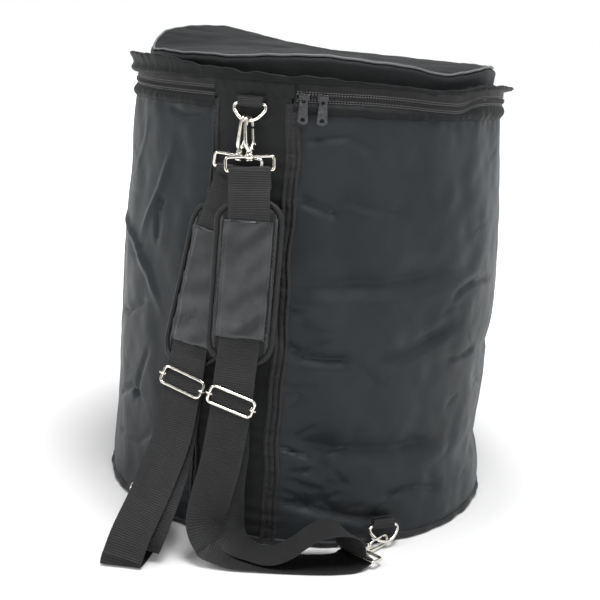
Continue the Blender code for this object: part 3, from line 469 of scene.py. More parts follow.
# Each kind of piece: its material's maker, then the maker's arguments after the name.
PALETTE = {
    "wall": (cloth_material, (0.0104, 0.0124, 0.0142), (0.0182, 0.0214, 0.0240)),
    "panel": (cloth_material, (0.0065, 0.0068, 0.0070), (0.0110, 0.0115, 0.0120), 0.6, 0.03,
              2600.0, 0.25, 0.25, 0.16),
    "lid": (cloth_material, (0.0045, 0.0049, 0.0052), (0.0085, 0.0092, 0.0098), 0.6, 0.02,
            2600.0, 0.25, 0.35, 0.07),
    "flap": (cloth_material, (0.0040, 0.0043, 0.0046), (0.0085, 0.0090, 0.0096), 0.62, 0.03,
             2600.0, 0.25, 0.5, 0.14),
    "lining": (cloth_material, (0.016, 0.017, 0.019), (0.026, 0.028, 0.031), 0.5, 0.2,
               1800.0, 0.35, 0.5),
    "pad": (cloth_material, (0.0065, 0.0070, 0.0072), (0.0120, 0.0125, 0.0130), 0.65, 0.05),
    "binding": (webbing_material, (0.0045, 0.0045, 0.0050), (0.0120, 0.0120, 0.0128)),
    "webbing": (webbing_material, (0.0060, 0.0060, 0.0064), (0.0165, 0.0168, 0.0175)),
    "tape": (webbing_material, (0.0040, 0.0040, 0.0044), (0.0100, 0.0100, 0.0106)),
    "mesh": (mesh_material,),
    "vinyl": (vinyl_material,),
    "nickel": (metal_material, (0.83, 0.80, 0.74), 0.16, (0.62, 0.58, 0.52)),
    "gunmetal": (metal_material, (0.10, 0.10, 0.105), 0.33, (0.05, 0.05, 0.052)),
    "coil": (thread_material, (0.030, 0.030, 0.032)),
    "stitch": (thread_material, (0.040, 0.041, 0.043)),
    "pale_stitch": (thread_material, (0.20, 0.20, 0.20)),
    "piping": (thread_material, (0.10, 0.103, 0.106)),
}


def material(kind, name):
    maker, *values = PALETTE[kind]
    return maker(name, *values)


# ------------------------------------------------------------------ mesh makers
def new_object(name, data):
    obj = bpy.data.objects.new(name, data)
    bpy.context.scene.collection.objects.link(obj)
    return obj


def make(name, verts, faces, kind, body="bag", stands_for=(), angle=50.0, ride=True):
    """A shown piece, with its own material, riding on a body."""
    mesh = bpy.data.meshes.new(name)
    mesh.from_pydata([tuple(float(c) for c in v) for v in verts], [], faces)
    bm = bmesh.new()
    bm.from_mesh(mesh)
    bmesh.ops.recalc_face_normals(bm, faces=bm.faces)
    bm.to_mesh(mesh)
    bm.free()
    obj = new_object(name, mesh)
    mesh.materials.append(material(kind, name + "_mat0"))
    mesh.shade_smooth()
    mesh.set_sharp_from_angle(angle=math.radians(angle))
    if stands_for:
        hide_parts(*stands_for)
    if ride:
        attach(obj, body)
    return obj


def quads(n, m, wrap_n, wrap_m, start=0):
    """Faces of an n by m grid of points."""
    out = []
    for i in range(n if wrap_n else n - 1):
        a = start + i * m
        b = start + ((i + 1) % n) * m
        for j in range(m if wrap_m else m - 1):
            k = (j + 1) % m
            out.append((a + j, b + j, b + k, a + k))
    return out


def capped(n, m, start=0):
    """Faces of n loops of m points joined along, with a cap at both ends."""
    faces = quads(n, m, False, True, start)
    faces.append(tuple(start + j for j in range(m - 1, -1, -1)))
    faces.append(tuple(start + (n - 1) * m + j for j in range(m)))
    return faces


def loop_shell(name, rings, kind, closed_round, **more):
    """Cross-section loops (n, m, 3) joined along; a part turn is capped at both ends."""
    rings = np.asarray(rings, float)
    n, m = rings.shape[:2]
    faces = quads(n, m, True, True) if closed_round else capped(n, m)
    return make(name, rings.reshape(-1, 3), faces, kind, **more)


def subdivide(obj):
    smooth = obj.modifiers.new("smooth", "SUBSURF")
    smooth.levels = 1
    smooth.render_levels = 1


def facing_in(line):
    """Level unit directions from the points of a line to the bag's axis."""
    inward = -line / np.linalg.norm(line[..., :2], axis=-1, keepdims=True)
    inward[..., 2] = 0.0
    return inward


def strip_ring(points, thick, inward):
    """Turns open section lines (n, m, 3) into loops of a given thickness, along inward (n, m, 3)."""
    back = (points + inward * thick)[:, ::-1]
    return np.concatenate([points, back], 1)


def tube(points, radius, closed=False, sides=10):
    """Vertices and faces of a round tube; radius is a number or one per point."""
    p = np.asarray(points, float)
    n = len(p)
    if closed:
        t = np.roll(p, -1, 0) - np.roll(p, 1, 0)
    else:
        t = np.gradient(p, axis=0)
    t /= np.linalg.norm(t, axis=1, keepdims=True)
    ref = UP if abs(t[0, 2]) < 0.9 else np.array((1.0, 0.0, 0.0))
    e = ref - t[0] * ref.dot(t[0])
    e /= np.linalg.norm(e)
    rad = np.broadcast_to(radius, (n,))
    verts = []
    for i in range(n):
        e = e - t[i] * e.dot(t[i])
        e /= np.linalg.norm(e)
        f = np.cross(t[i], e)
        for s in range(sides):
            a = TAU * s / sides
            verts.append(p[i] + rad[i] * (math.cos(a) * e + math.sin(a) * f))
    return verts, quads(n, sides, True, True) if closed else capped(n, sides)


class Bits:
    """Gathers many closed bits into one mesh."""

    def __init__(self):
        self.verts = []
        self.faces = []

    def add(self, verts, faces):
        base = len(self.verts)
        self.verts.extend(verts)
        self.faces.extend(tuple(base + i for i in f) for f in faces)

    def tube(self, points, radius, closed=False, sides=10):
        self.add(*tube(points, radius, closed, sides))

    def loops(self, rings):
        """A closed bit from cross-section loops (n, m, 3)."""
        rings = np.asarray(rings)
        self.add(list(rings.reshape(-1, 3)), capped(*rings.shape[:2]))

    def stitch(self, a, b, radius):
        """A short thread that dives at both ends."""
        a = np.asarray(a, float)
        b = np.asarray(b, float)
        pts = [a, a + (b - a) * 0.2, a + (b - a) * 0.8, b]
        self.tube(pts, [radius * 0.4, radius, radius, radius * 0.4], sides=6)

    def make(self, name, kind, **more):
        return make(name, self.verts, self.faces, kind, **more)


def unit(v):
    v = np.asarray(v, float)
    return v / np.linalg.norm(v)


def catmull(rows, per):
    rows = np.asarray(rows, float)
    out = []
    for i in range(len(rows) - 1):
        p0 = rows[max(0, i - 1)]
        p1 = rows[i]
        p2 = rows[i + 1]
        p3 = rows[min(len(rows) - 1, i + 2)]
        for s in range(per):
            t = s / per
            out.append(0.5 * (2 * p1 + (p2 - p0) * t + (2 * p0 - 5 * p1 + 4 * p2 - p3) * t * t
                              + (3 * p1 - p0 - 3 * p2 + p3) * t ** 3))
    out.append(rows[-1])
    return np.array(out)


def resample(rows, step):
    """Rows of (x, y, z, w...) at an even step of length."""
    rows = np.asarray(rows, float)
    d = np.linalg.norm(np.diff(rows[:, :3], axis=0), axis=1)
    s = np.concatenate([[0.0], np.cumsum(d)])
    n = max(2, int(round(s[-1] / step)) + 1)
    at = np.linspace(0.0, s[-1], n)
    return np.stack([np.interp(at, s, rows[:, k]) for k in range(rows.shape[1])], 1), s[-1]


def frames(rows):
    """Points, tangents, width directions and normals along rows of (x, y, z, wx, wy, wz)."""
    p = rows[:, :3]
    t = np.gradient(p, axis=0)
    t /= np.linalg.norm(t, axis=1, keepdims=True)
    w = rows[:, 3:6] - t * np.sum(rows[:, 3:6] * t, 1, keepdims=True)
    w /= np.linalg.norm(w, axis=1, keepdims=True)
    return p, t, w, np.cross(t, w)


def ribbed(rows, width, thick, pitch=RIB_PITCH, deep=0.00048, cross=9, quiet_end=0.0):
    """Ribbed webbing along rows: raised cross ribs, flatter where it ends, and a plain selvedge."""
    rows, length = resample(rows, pitch / 4.0)
    p, _, w, n = frames(rows)
    count = len(rows)
    phase = np.sin(np.arange(count) * (math.pi / 2.0))
    left = length - np.linspace(0.0, length, count)
    phase = phase * np.where(left < quiet_end, 0.25, 1.0)
    us = np.linspace(-1.0, 1.0, cross)
    loops = []
    for sign in (1.0, -1.0):
        side = us if sign > 0 else us[::-1]
        for u in side:
            selv = 1.0 - smoothstep((abs(u) - 0.86) / 0.1)
            half = thick * 0.5 * (1.0 - 0.35 * float(smoothstep((abs(u) - 0.93) / 0.07)))
            lift = half + deep * phase * selv
            loops.append(p + w * (u * width / 2.0) + n * (sign * lift)[:, None])
    return np.stack(loops, 1), length


# ------------------------------------------------------------------ camera, light and floor
CAMERA_AZ = math.radians(18.0)
CAMERA_FAR = 1.40
CAMERA_Z = 0.596
CAMERA_PITCH = math.radians(14.0)
CAMERA_ROLL = math.radians(3.7)
CAMERA_YAW = math.radians(0.369)

cam_data = bpy.data.cameras.new("camera")
cam_data.lens = 60.5
cam_data.sensor_width = 36.0
cam = new_object("camera", cam_data)
stand = (CAMERA_FAR * math.sin(CAMERA_AZ), -CAMERA_FAR * math.cos(CAMERA_AZ), CAMERA_Z)
aim = Matrix.Rotation(CAMERA_AZ + CAMERA_YAW, 4, "Z") @ Matrix.Rotation(math.pi / 2 - CAMERA_PITCH, 4, "X")
cam.matrix_world = Matrix.Translation(stand) @ (aim @ Matrix.Rotation(CAMERA_ROLL, 4, "Z"))
bpy.context.scene.camera = cam
bpy.context.scene.view_settings.view_transform = "Standard"

WHITE = (1.0, 1.0, 1.0, 1.0)
# White backdrop behind the bag and all round the horizon, a dimmer room in front of it.
world = bpy.data.worlds.new("studio")
bpy.context.scene.world = world
world.use_nodes = True
sky = world.node_tree
coord = add_node(sky, "TexCoord")
split = add_node(sky, "SeparateXYZ", links={"Vector": coord.outputs["Generated"]})
backdrop = span(sky, split.outputs["Y"], -0.35, 0.25, 0.22, 1.0)
skyline = span(sky, split.outputs["Z"], 0.08, 0.15, 1.0, 0.0)
brighter = add_node(sky, "Math", links={0: backdrop, 1: skyline}, operation="MAXIMUM")
set_inputs(sky.nodes["Background"], {"Color": WHITE})
sky.links.new(brighter.outputs[0], sky.nodes["Background"].inputs["Strength"])


def area_light(name, place_at, aim_at, side, power, colour=(1.0, 1.0, 1.0)):
    data = bpy.data.lights.new(name, "AREA")
    data.shape = "RECTANGLE"
    data.size = side
    data.size_y = side
    data.energy = power
    data.color = colour
    obj = new_object(name, data)
    obj.location = place_at
    obj.rotation_mode = "QUATERNION"
    obj.rotation_quaternion = (Vector(aim_at) - Vector(place_at)).to_track_quat("-Z", "Y")


area_light("key", (-1.6, -1.7, 2.3), (0.0, 0.0, 0.30), 1.2, 30.0)
area_light("fill", (2.4, -1.3, 1.2), (0.0, 0.0, 0.25), 1.4, 9.0, (0.95, 0.98, 1.0))
area_light("top", (0.5, -0.7, 2.7), (0.0, 0.0, 0.3), 1.1, 82.0)

# The floor glows white away from the bag, so it runs into the backdrop.
FLOOR_HALF = 14
floor_mesh = bpy.data.meshes.new("floor")
corners = [(x * FLOOR_HALF, y * FLOOR_HALF, 0) for x, y in ((-1, -1), (1, -1), (1, 1), (-1, 1))]
floor_mesh.from_pydata(corners, [], [(0, 1, 2, 3)])
floor = new_object("floor", floor_mesh)
floor.location.z = -0.0004
floor_mat, floor_tree, floor_bsdf = nodes_of("floor_mat", Base_Color=(0.62, 0.62, 0.62, 1.0), Roughness=0.8,
                                             Emission_Color=WHITE)
distance = add_node(floor_tree, "VectorMath", links={0: place(floor_tree)}, operation="LENGTH")
glow = span(floor_tree, distance.outputs["Value"], 0.30, 0.85, 0.0, 1.0)
floor_tree.links.new(glow, floor_bsdf.inputs["Emission Strength"])
floor_mesh.materials.append(floor_mat)

# ------------------------------------------------------------------ wall
AZ_STEP = 0.7
Z_STEP = 0.0030
EDGE = PANEL_DEG + 0.08
SKIN_LOW = 0.0053


def wall_loops(degs, top, out_off, in_off):
    """Closed wall sections at azimuths: outside going up, inside going down."""
    zs = np.linspace(SKIN_LOW, top, int((top - SKIN_LOW) / Z_STEP))
    az, z = np.meshgrid(degs, zs, indexing="ij")
    outer = wall_point(az, z, out_off)
    inner = wall_point(az, z[:, ::-1], in_off)
    return np.concatenate([outer, inner], 1)


degs = np.arange(EDGE, 360.0 - EDGE + 0.01, AZ_STEP)
loop_shell("wall_skin", wall_loops(degs, WALL_TOP, 0.0, -0.0012), "wall", False, stands_for=["wall_panel"])
degs = np.linspace(-PANEL_DEG, PANEL_DEG, 30)
loop_shell("strap_skin", wall_loops(degs, 0.5415, 0.0012, 0.0), "panel", False, stands_for=["strap_panel"])


def seam_sway(z):
    """Degrees by which a seam wanders to the side."""
    return 0.35 * np.sin(z * 31.0) + 0.2 * np.sin(z * 83.0)


def seam_band(side, az0, az1, ridges, seed):
    """A bound seam running up the wall: rounded ridges with a crinkled binding between them."""
    zs = np.arange(0.006, 0.5345, 0.0022)
    flat_top = 1.0 - 0.8 * smoothstep((zs - 0.490) / 0.016)
    us = np.linspace(0.0, 1.0, 25)
    az = az0 + (az1 - az0) * us
    azg, zg = np.meshgrid(az, zs)
    height = np.full(azg.shape, 0.0019)
    for middle, half, tall in ridges:
        ridge = np.clip(1.0 - ((us - middle) / half) ** 2, 0.0, 1.0) ** 0.6
        height = height + tall * flat_top[:, None] * ridge
    rng = random.Random(seed)
    for _ in range(9):
        wave = TAU / rng.uniform(0.006, 0.030)
        height = height + 0.00016 * np.cos(zg * wave + us * rng.uniform(-4, 4) + rng.uniform(0, TAU))
    azg = azg + seam_sway(zg)
    loops = np.concatenate([wall_point(azg, zg, height), wall_point(azg, zg, 0.0013)[:, ::-1]], 1)
    loop_shell("seam_" + side, loops, "binding", False, stands_for=["seam_band_" + side], angle=70.0)
    bits = Bits()
    for middle, _, _ in ridges:
        a = az0 + (az1 - az0) * (middle + 0.12)
        for z in np.arange(0.010, 0.526, 0.0042):
            ends = wall_point(a + seam_sway(z), np.array([z, z + 0.0026]), 0.0023)
            bits.stitch(*ends, 0.00032)
    bits.make("seam_%s_stitches" % side, "coil")


# Each ridge: its middle and half width as shares of the band, and how high it stands.
seam_band("right", PANEL_DEG - 1.3, PANEL_DEG + 2.8,
          [(0.13, 0.13, 0.0024), (0.50, 0.15, 0.0008), (0.86, 0.14, 0.0026)], 11)
seam_band("left", -PANEL_DEG - 0.9, -PANEL_DEG + 1.2, [(0.24, 0.22, 0.0020), (0.76, 0.22, 0.0020)], 12)

# ------------------------------------------------------------------ hem and base
def foot_radius(degs):
    return wall_r(0.0) + wall_out(degs, 0.004)


degs = np.arange(0.0, 360.0, 0.9)
a = np.radians(degs)
hem_r = foot_radius(degs) - 0.0008
hem_r = hem_r + 0.0007 * np.sin(a * 23 + 2 * np.sin(a * 5)) + 0.0004 * np.sin(a * 57)
hem_h = 0.0088 + 0.0010 * np.sin(a * 9 + 1.0) + 0.0005 * np.sin(a * 31)
loops = []
for k in range(16):
    b = TAU * k / 16
    thick = 0.0034 + 0.0003 * np.sin(a * 41 + k)
    r = hem_r + thick * np.cos(b) + 0.0002
    z = hem_h * 0.5 + hem_h * 0.5 * np.sin(b)
    loops.append(polar(r, degs, np.maximum(z, 0.0)))
loop_shell("hem", np.stack(loops, 1), "binding", True, stands_for=["base_binding"], angle=70.0)


PLATE_DEGS = np.arange(0.0, 360.0, 1.5)


def round_plate(edge_r, top, low, rings=26):
    """Closed disc between two height functions of (share of radius, azimuth)."""
    verts = []
    faces = []
    rims = []
    m = len(PLATE_DEGS)
    for height in (top, low):
        points = [polar(edge_r * s, PLATE_DEGS, height(s, PLATE_DEGS)) for s in np.linspace(0.04, 1.0, rings)]
        centre = len(verts)
        first = centre + 1
        verts.append(np.mean(points[0], 0))
        for ring in points:
            verts.extend(ring)
        faces.extend((centre, first + j, first + (j + 1) % m) for j in range(m))
        faces.extend(quads(rings, m, False, True, first))
        rims.append(first + (rings - 1) * m)
    up, down = rims
    for j in range(m):
        i = (j + 1) % m
        faces.append((up + j, down + j, down + i, up + i))
    return verts, faces


def underside(s, d):
    return np.maximum(0.0, 0.00035 * (1 + np.sin(np.radians(d) * 6 + 9 * s)) * (1 - s))


base_plate = round_plate(foot_radius(PLATE_DEGS) - 0.0044, lambda s, d: 0.0013, underside)
make("base_skin", *base_plate, "panel", stands_for=["base_cover"])


def floor_top(s, d):
    soft = 0.0008 * field(s, d, 21, 12, 0.05)
    return 0.0102 + soft * (1 - s ** 6) - 0.0016 * smoothstep((s - 0.95) / 0.05)


padding_r = wall_r(0.02) + wall_out(PLATE_DEGS, 0.012) - 0.0108
floor_plate = round_plate(padding_r, floor_top, lambda s, d: 0.0017)
make("base_padding", *floor_plate, "lining", stands_for=["base_foam", "base_lining"])
degs = np.arange(0.0, 360.0, 2.0)
CROWN_R = 0.0035
zs = np.linspace(0.0056, FOAM_TOP - CROWN_R, 70)
az, z = np.meshgrid(degs, zs, indexing="ij")
outer = wall_point(az, z, -0.0017)
quilt = 0.0007 * ripple(az, z, 31, 14, (4, 26), 0.06)
inner = wall_point(az, z, -0.0102 + quilt)
crown = []
for k in range(1, 6):
    b = math.pi * k / 6
    off = -0.00595 + 0.00425 * math.cos(b)
    crown.append(wall_point(degs, FOAM_TOP - CROWN_R + CROWN_R * math.sin(b), off))
loops = np.concatenate([outer, np.stack(crown, 1), inner[:, ::-1]], 1)
wall_lining = loop_shell("wall_padding", loops, "lining", True, stands_for=["wall_foam", "wall_lining"])

# ------------------------------------------------------------------ zip
def zip_line(degs):
    """Height of the zip's middle line, and its radius."""
    degs = wrap_deg(degs)
    wave = along_rows(ZIP_WAVE, degs)
    return ZIP_Z + wave, R_TOP - 0.0005 + 0.35 * np.abs(wave)


def zip_coil(name, side, node, body):
    """One continuous coil of nylon filament."""
    pitch = 0.0030
    per_turn = 8
    sweep = 360.0 - 2.0 * ZIP_END_DEG
    k = np.arange(int(math.radians(sweep) * R_TOP / pitch) * per_turn + 1)
    degs = ZIP_END_DEG + sweep * k / k[-1]
    z, r = zip_line(degs)
    b = TAU * k / per_turn
    points = polar(r + 0.0012 * np.cos(b), degs, z + side * 0.0012 + side * 0.0013 * np.sin(b))
    make(name, *tube(points, 0.00046, sides=5), "coil", body=body, stands_for=[node])


TAPE_TOP = 0.5600


def tape_heights(side, degs):
    """Where a tape starts at the coil, and where it ends under its cloth."""
    z, r = zip_line(degs)
    if side < 0:
        return r, z - 0.0020, np.full(degs.shape, WALL_TOP - 0.004)
    return r, z + 0.0020, TAPE_TOP + 0.6 * (z - ZIP_Z)


def zip_tape(name, side, node, body):
    degs = np.arange(ZIP_END_DEG, 360.0 - ZIP_END_DEG + 0.01, 0.8)
    r, z0, z1 = tape_heights(side, degs)
    pts = []
    for u in np.linspace(0.0, 1.0, 12):
        sag = 0.0006 * np.sin(np.radians(degs) * 37 + 4 * u) * u
        pts.append(polar(r - 0.0006 + sag, degs, z0 + (z1 - z0) * u))
    line = np.stack(pts, 1)
    rings = strip_ring(line, 0.0008, facing_in(line))
    loop_shell(name, rings, "tape", False, body=body, stands_for=[node])
    bits = Bits()
    for row in (0.0011, 0.0034):
        for deg in np.arange(ZIP_END_DEG + 0.8, 360.0 - ZIP_END_DEG - 0.8, 0.78):
            d = np.array([deg, deg + 0.46])
            rr, zz, _ = tape_heights(side, d)
            bits.stitch(*polar(rr + 0.0002, d, zz + side * row), 0.00034)
    bits.make(name + "_stitches", "pale_stitch", body=body)


zip_coil("zip_coil_low", -1.0, "zip_coil_lower", "bag")
zip_coil("zip_coil_up", 1.0, "zip_coil_upper", "lid")
zip_tape("zip_tape_low", -1.0, "zip_tape_lower", "bag")
zip_tape("zip_tape_up", 1.0, "zip_tape_upper", "lid")

# The puckered cloth strip between the wall's top seam and the zip.
degs = np.arange(EDGE + 0.3, 360.0 - EDGE - 0.3, 0.7)
a = np.radians(degs)
z_mid, r_mid = zip_line(degs)
strip_low = 0.5235
strip_top = z_mid - 0.0066
uneven = 0.5 + 0.5 * np.sin(a * 11 + 3 * np.sin(a * 4))
gather = 0.0006 * uneven * np.sin(a * 83 + 9 * np.sin(a * 9)) + 0.0004 * np.sin(a * 131 + 6 * np.sin(a * 13))
base = wall_r(strip_low) + wall_out(degs, strip_low) + 0.0006
profile = []
for u in np.linspace(0.0, 1.0, 12):
    z = strip_low + (strip_top - strip_low) * u
    bulge = 0.0032 * math.sin(math.pi * min(1.0, u * 1.05)) ** 0.8
    r = base + (r_mid + 0.0008 - base) * u + bulge + gather * math.sin(math.pi * u) ** 0.6
    profile.append(polar(r, degs, z + 0.0008 * np.sin(a * 29) * (1 - u)))
line = np.stack(profile, 1)
loop_shell("zip_strip", strip_ring(line, 0.0009, facing_in(line)), "flap", False)


# ------------------------------------------------------------------ sliders and their pulls
def blunt(turn):
    """Cosine and sine of a squarish round."""
    c = math.cos(turn)
    s = math.sin(turn)
    return math.copysign(abs(c) ** 0.45, c), math.copysign(abs(s) ** 0.45, s)


def circle(cx, cz, rx, rz, count):
    return [(cx + rx * math.cos(TAU * k / count), cz + rz * math.sin(TAU * k / count)) for k in range(count)]


def pull_outline():
    """The pull hangs from a nearly level top edge and ends in a wide round."""
    half = PULL_W / 2
    end = half * 0.72
    turns = [math.pi * k / 8 for k in range(9)]
    top = [(math.cos(b) * (half - 0.0012) * 0.92, 0.0003 + 0.0004 * math.sin(b)) for b in turns]
    turns = [math.pi + math.pi * k / 12 for k in range(13)]
    return top + [(math.cos(b) * half, -PULL_L + end + end * math.sin(b)) for b in turns]


def add_bevel(obj, width, segments):
    bevel = obj.modifiers.new("edges", "BEVEL")
    bevel.width = width
    bevel.segments = segments


def evaluated_mesh(obj):
    bpy.context.view_layer.update()
    return bpy.data.meshes.new_from_object(obj.evaluated_get(bpy.context.evaluated_depsgraph_get()))


def slider_piece(tag, deg):
    """Zip slider of two domed plates, a wedge and a bridge, with its long flat pull."""
    out = unit(polar(1.0, deg, 0.0))
    along = azimuth_dir(deg)
    mid = polar(R_TOP - 0.0005, deg, ZIP_Z)
    plate_thick = 0.0012
    outline = []
    for k in range(28):
        c, s = blunt(TAU * k / 28)
        x = 0.0060 * c
        outline.append((x, 0.0043 * (1.0 - 0.16 * smoothstep((x + 0.006) / 0.012)) * s))
    bits = Bits()
    for depth, dome in ((SLIDER_FACE, 0.25), (-0.0036, 0.0)):
        layers = ((0.93, 0.0), (1.0, 0.12), (1.0, 0.6), (0.93, 0.88), (0.75, 1.0), (0.3, 1.0 + dome))
        bits.loops([[mid + out * (depth + plate_thick * lift) + along * (x * share) + UP * (y * share)
                     for x, y in outline] for share, lift in layers])
    bits.tube([mid - out * 0.0028, mid + out * (SLIDER_FACE + 0.0004)], 0.0008, sides=8)
    pin = mid + out * (SLIDER_FACE + plate_thick + 0.0020) + UP * 0.0005
    arch = ((-0.0026, 0.0026), (0.0008, 0.0028), (0.0020, 0.0018), (0.0023, 0.0), (0.0020, -0.0018),
            (0.0008, -0.0028), (-0.0026, -0.0026))
    bits.tube(catmull([pin + out * o + UP * z for o, z in arch], 4), 0.00075, sides=10)
    node = "zip_slider_" + tag
    add_bevel(bits.make("slider_" + tag, "gunmetal", body=node, stands_for=[node], angle=35.0), 0.00015, 2)

    def ring(points, depth):
        return [pin + along * x + UP * z + out * depth for x, z in points]

    # The tab is cut out of its outline by two holes, then rounded at its edges.
    half_thick = 0.00065
    eye = -PULL_L + 0.0054
    tab = bmesh.new()
    tab.faces.new([tab.verts.new(p) for p in ring(pull_outline(), -half_thick)])
    solid = bmesh.ops.extrude_face_region(tab, geom=list(tab.faces))
    for v in solid["geom"]:
        if isinstance(v, bmesh.types.BMVert):
            v.co += Vector(out * (2 * half_thick))
    bmesh.ops.recalc_face_normals(tab, faces=tab.faces)
    mesh = bpy.data.meshes.new("pull_" + tag)
    tab.to_mesh(mesh)
    tab.free()
    pull = new_object("pull_" + tag, mesh)
    cutters = Bits()
    for points in (circle(0.0, -0.0041, 0.0024, 0.0034, 22), circle(0.0, eye, 0.0023, 0.0023, 22)):
        cutters.loops([ring(points, -0.003), ring(points, 0.003)])
    tool = cutters.make("cut_" + tag, "gunmetal", ride=False)
    cut = pull.modifiers.new("holes", "BOOLEAN")
    cut.object = tool
    cut.operation = "DIFFERENCE"
    cut.solver = "EXACT"
    done = evaluated_mesh(pull)
    pull.modifiers.remove(cut)
    pull.data = done
    bpy.data.objects.remove(tool)
    done.materials.clear()
    done.materials.append(material("gunmetal", "pull_%s_mat" % tag))
    add_bevel(pull, 0.00035, 3)
    pull.modifiers["edges"].limit_method = "ANGLE"
    done.shade_smooth()
    done.set_sharp_from_angle(angle=math.radians(40.0))
    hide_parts("zip_pull_" + tag)
    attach(pull, "zip_pull_" + tag)
    rims = Bits()
    rim = circle(0.0, eye, 0.0029, 0.0029, 24)
    for depth in (half_thick, -half_thick):
        rims.tube(ring(rim, depth), 0.00042, closed=True, sides=8)
    rims.make("pull_rim_" + tag, "gunmetal", body="zip_pull_" + tag)


for tag, deg in SLIDERS.items():
    slider_piece(tag, deg)

# ------------------------------------------------------------------ lid
def pipe_place(degs):
    """Height and radius of the lid's piped edge."""
    degs = wrap_deg(degs)
    a = np.radians(degs)
    z = along_rows(PIPE_Z, degs) + 0.0005 * np.sin(a * 17 + 1.0) + 0.0003 * np.sin(a * 41)
    r = LID_R + 0.0022 * np.sin(a * 2 + 0.6) + 0.0011 * np.sin(a * 7 + 0.4) + 0.0005 * np.sin(a * 19)
    return z, r


def lid_top(share, degs, drop=0.0):
    """Height of the soft lid at a share of its radius: it swells on the left and dips on the right."""
    z_edge, _ = pipe_place(degs)
    a = np.radians(wrap_deg(degs))
    middle = 0.5955
    height = middle + (z_edge - 0.0002 - middle) * share ** 1.7
    x = share * np.sin(a)
    y = -share * np.cos(a)
    swell = 0.0045 * np.exp(-((x + 0.42) ** 2 + (y - 0.28) ** 2) / 0.16)
    dip = 0.0035 * np.exp(-((x - 0.40) ** 2 + (y + 0.20) ** 2) / 0.10)
    soft = 0.0010 * field(share, degs, 41, 14, 0.045) * (1 - share ** 8)
    ring = smoothstep((share - 0.86) / 0.1) * (1 - smoothstep((share - 0.97) / 0.03))
    rim = 0.0005 * np.sin(a * 67 + 3 * np.sin(a * 7)) * ring
    return height + swell - dip + soft + rim - drop


def lid_under(s, d):
    return lid_top(s, d, 0.0090 - 0.0035 * smoothstep((s - 0.93) / 0.07))


_, edge_r = pipe_place(PLATE_DEGS)
top_plate = round_plate(edge_r - 0.0014, lid_top, lambda s, d: lid_top(s, d, 0.0013), 44)
make("lid_cover", *top_plate, "lid", body="lid", stands_for=["lid_top_panel"], angle=70.0)
under_plate = round_plate(edge_r - 0.0030, lambda s, d: lid_top(s, d, 0.0017), lid_under, 36)
make("lid_padding", *under_plate, "lining", body="lid", stands_for=["lid_foam", "lid_lining"])

degs = np.arange(0.0, 360.0, 0.9)
pz, pr = pipe_place(degs)
cord = tube(polar(pr, degs, pz), 0.0015, True, 12)
make("lid_cord", *cord, "piping", body="lid", stands_for=["lid_piping"])
bits = Bits()
for deg in np.arange(0.0, 360.0, 1.0):
    d = np.array([deg, deg + 0.6])
    z, r = pipe_place(d)
    bits.stitch(*polar(r + 0.0004, d, z - 0.0040), 0.0003)
bits.make("lid_cord_stitches", "stitch", body="lid")

degs = np.arange(0.0, 360.0, 0.6)
wd = wrap_deg(degs)
a = np.radians(wd)
pz, pr = pipe_place(degs)
flap_z = along_rows(FLAP_Z, wd) + 0.0011 * np.sin(a * 21 + 2 * np.sin(a * 6)) + 0.0007 * np.sin(a * 53 + 1.0)
flap_r = R_TOP + along_rows(FLAP_OUT, wd) + 0.0018 * np.sin(a * 15 + 4 * np.sin(a * 4))
flap_r = flap_r + 0.0008 * np.sin(a * 47 + 5 * np.sin(a * 8))
tape_r, _, tape_z = tape_heights(1.0, degs)
left_roll = bump(wd, -60, 52)
uneven = 0.4 + 0.6 * np.sin(a * 9 + 2 * np.sin(a * 5)) ** 2
crinkle = 0.0004 * np.sin(a * 97 + 14 * np.sin(a * 11)) + 0.0003 * np.sin(a * 163 + 9 * np.sin(a * 17))
crinkle = uneven * crinkle
# Up from the zip's tape, out to the flap's lip, back under it and up to the piping.
profile = [
    (tape_r + 0.0010 + 0.0020 * left_roll, tape_z - 0.0035 - 0.0040 * left_roll),
    (tape_r + 0.0028 + 0.0052 * left_roll, tape_z - 0.0030 - 0.0030 * left_roll),
    (tape_r + 0.0036 + 0.0058 * left_roll + crinkle, tape_z - 0.0008 + 0.0006 * left_roll),
    (tape_r + 0.0030 + 0.0020 * left_roll + crinkle, tape_z + 0.0016 + 0.0010 * left_roll),
    (0.60 * (tape_r + 0.0034) + 0.40 * flap_r + crinkle, 0.60 * (tape_z + 0.0020) + 0.40 * flap_z),
    (0.25 * tape_r + 0.75 * flap_r + 0.0012 + crinkle, 0.25 * tape_z + 0.75 * flap_z),
    (flap_r + 0.0004, flap_z - 0.0016),
    (flap_r - 0.0010, flap_z),
    (flap_r - 0.0034, flap_z - 0.0008),
    (0.55 * flap_r + 0.45 * pr, flap_z - 0.0036),
    (pr + 0.0030, np.minimum(flap_z - 0.0052, pz - 0.0125)),
    (pr + 0.0022, np.minimum(flap_z - 0.0040, pz - 0.0110)),
    (pr + 0.0042, pz - 0.0095),
    (pr + 0.0046, pz - 0.0068),
    (pr + 0.0034, pz - 0.0040),
    (pr + 0.0008, pz - 0.0021),
    (pr - 0.0022, pz - 0.0030),
]
line = np.stack([polar(r, degs, z) for r, z in profile], 1)
radial = -facing_in(line)
along_profile = np.gradient(line, axis=1)
tangent_r = np.sum(along_profile * radial, -1)
tangent_z = along_profile[..., 2]
size = np.hypot(tangent_r, tangent_z) + 1e-9
inward = radial * (-tangent_z / size)[..., None]
inward[..., 2] += tangent_r / size
flap = loop_shell("lid_flap", strip_ring(line, 0.0010, inward), "flap", True, body="lid",
                  stands_for=["lid_side_band"], angle=80.0)
subdivide(flap)
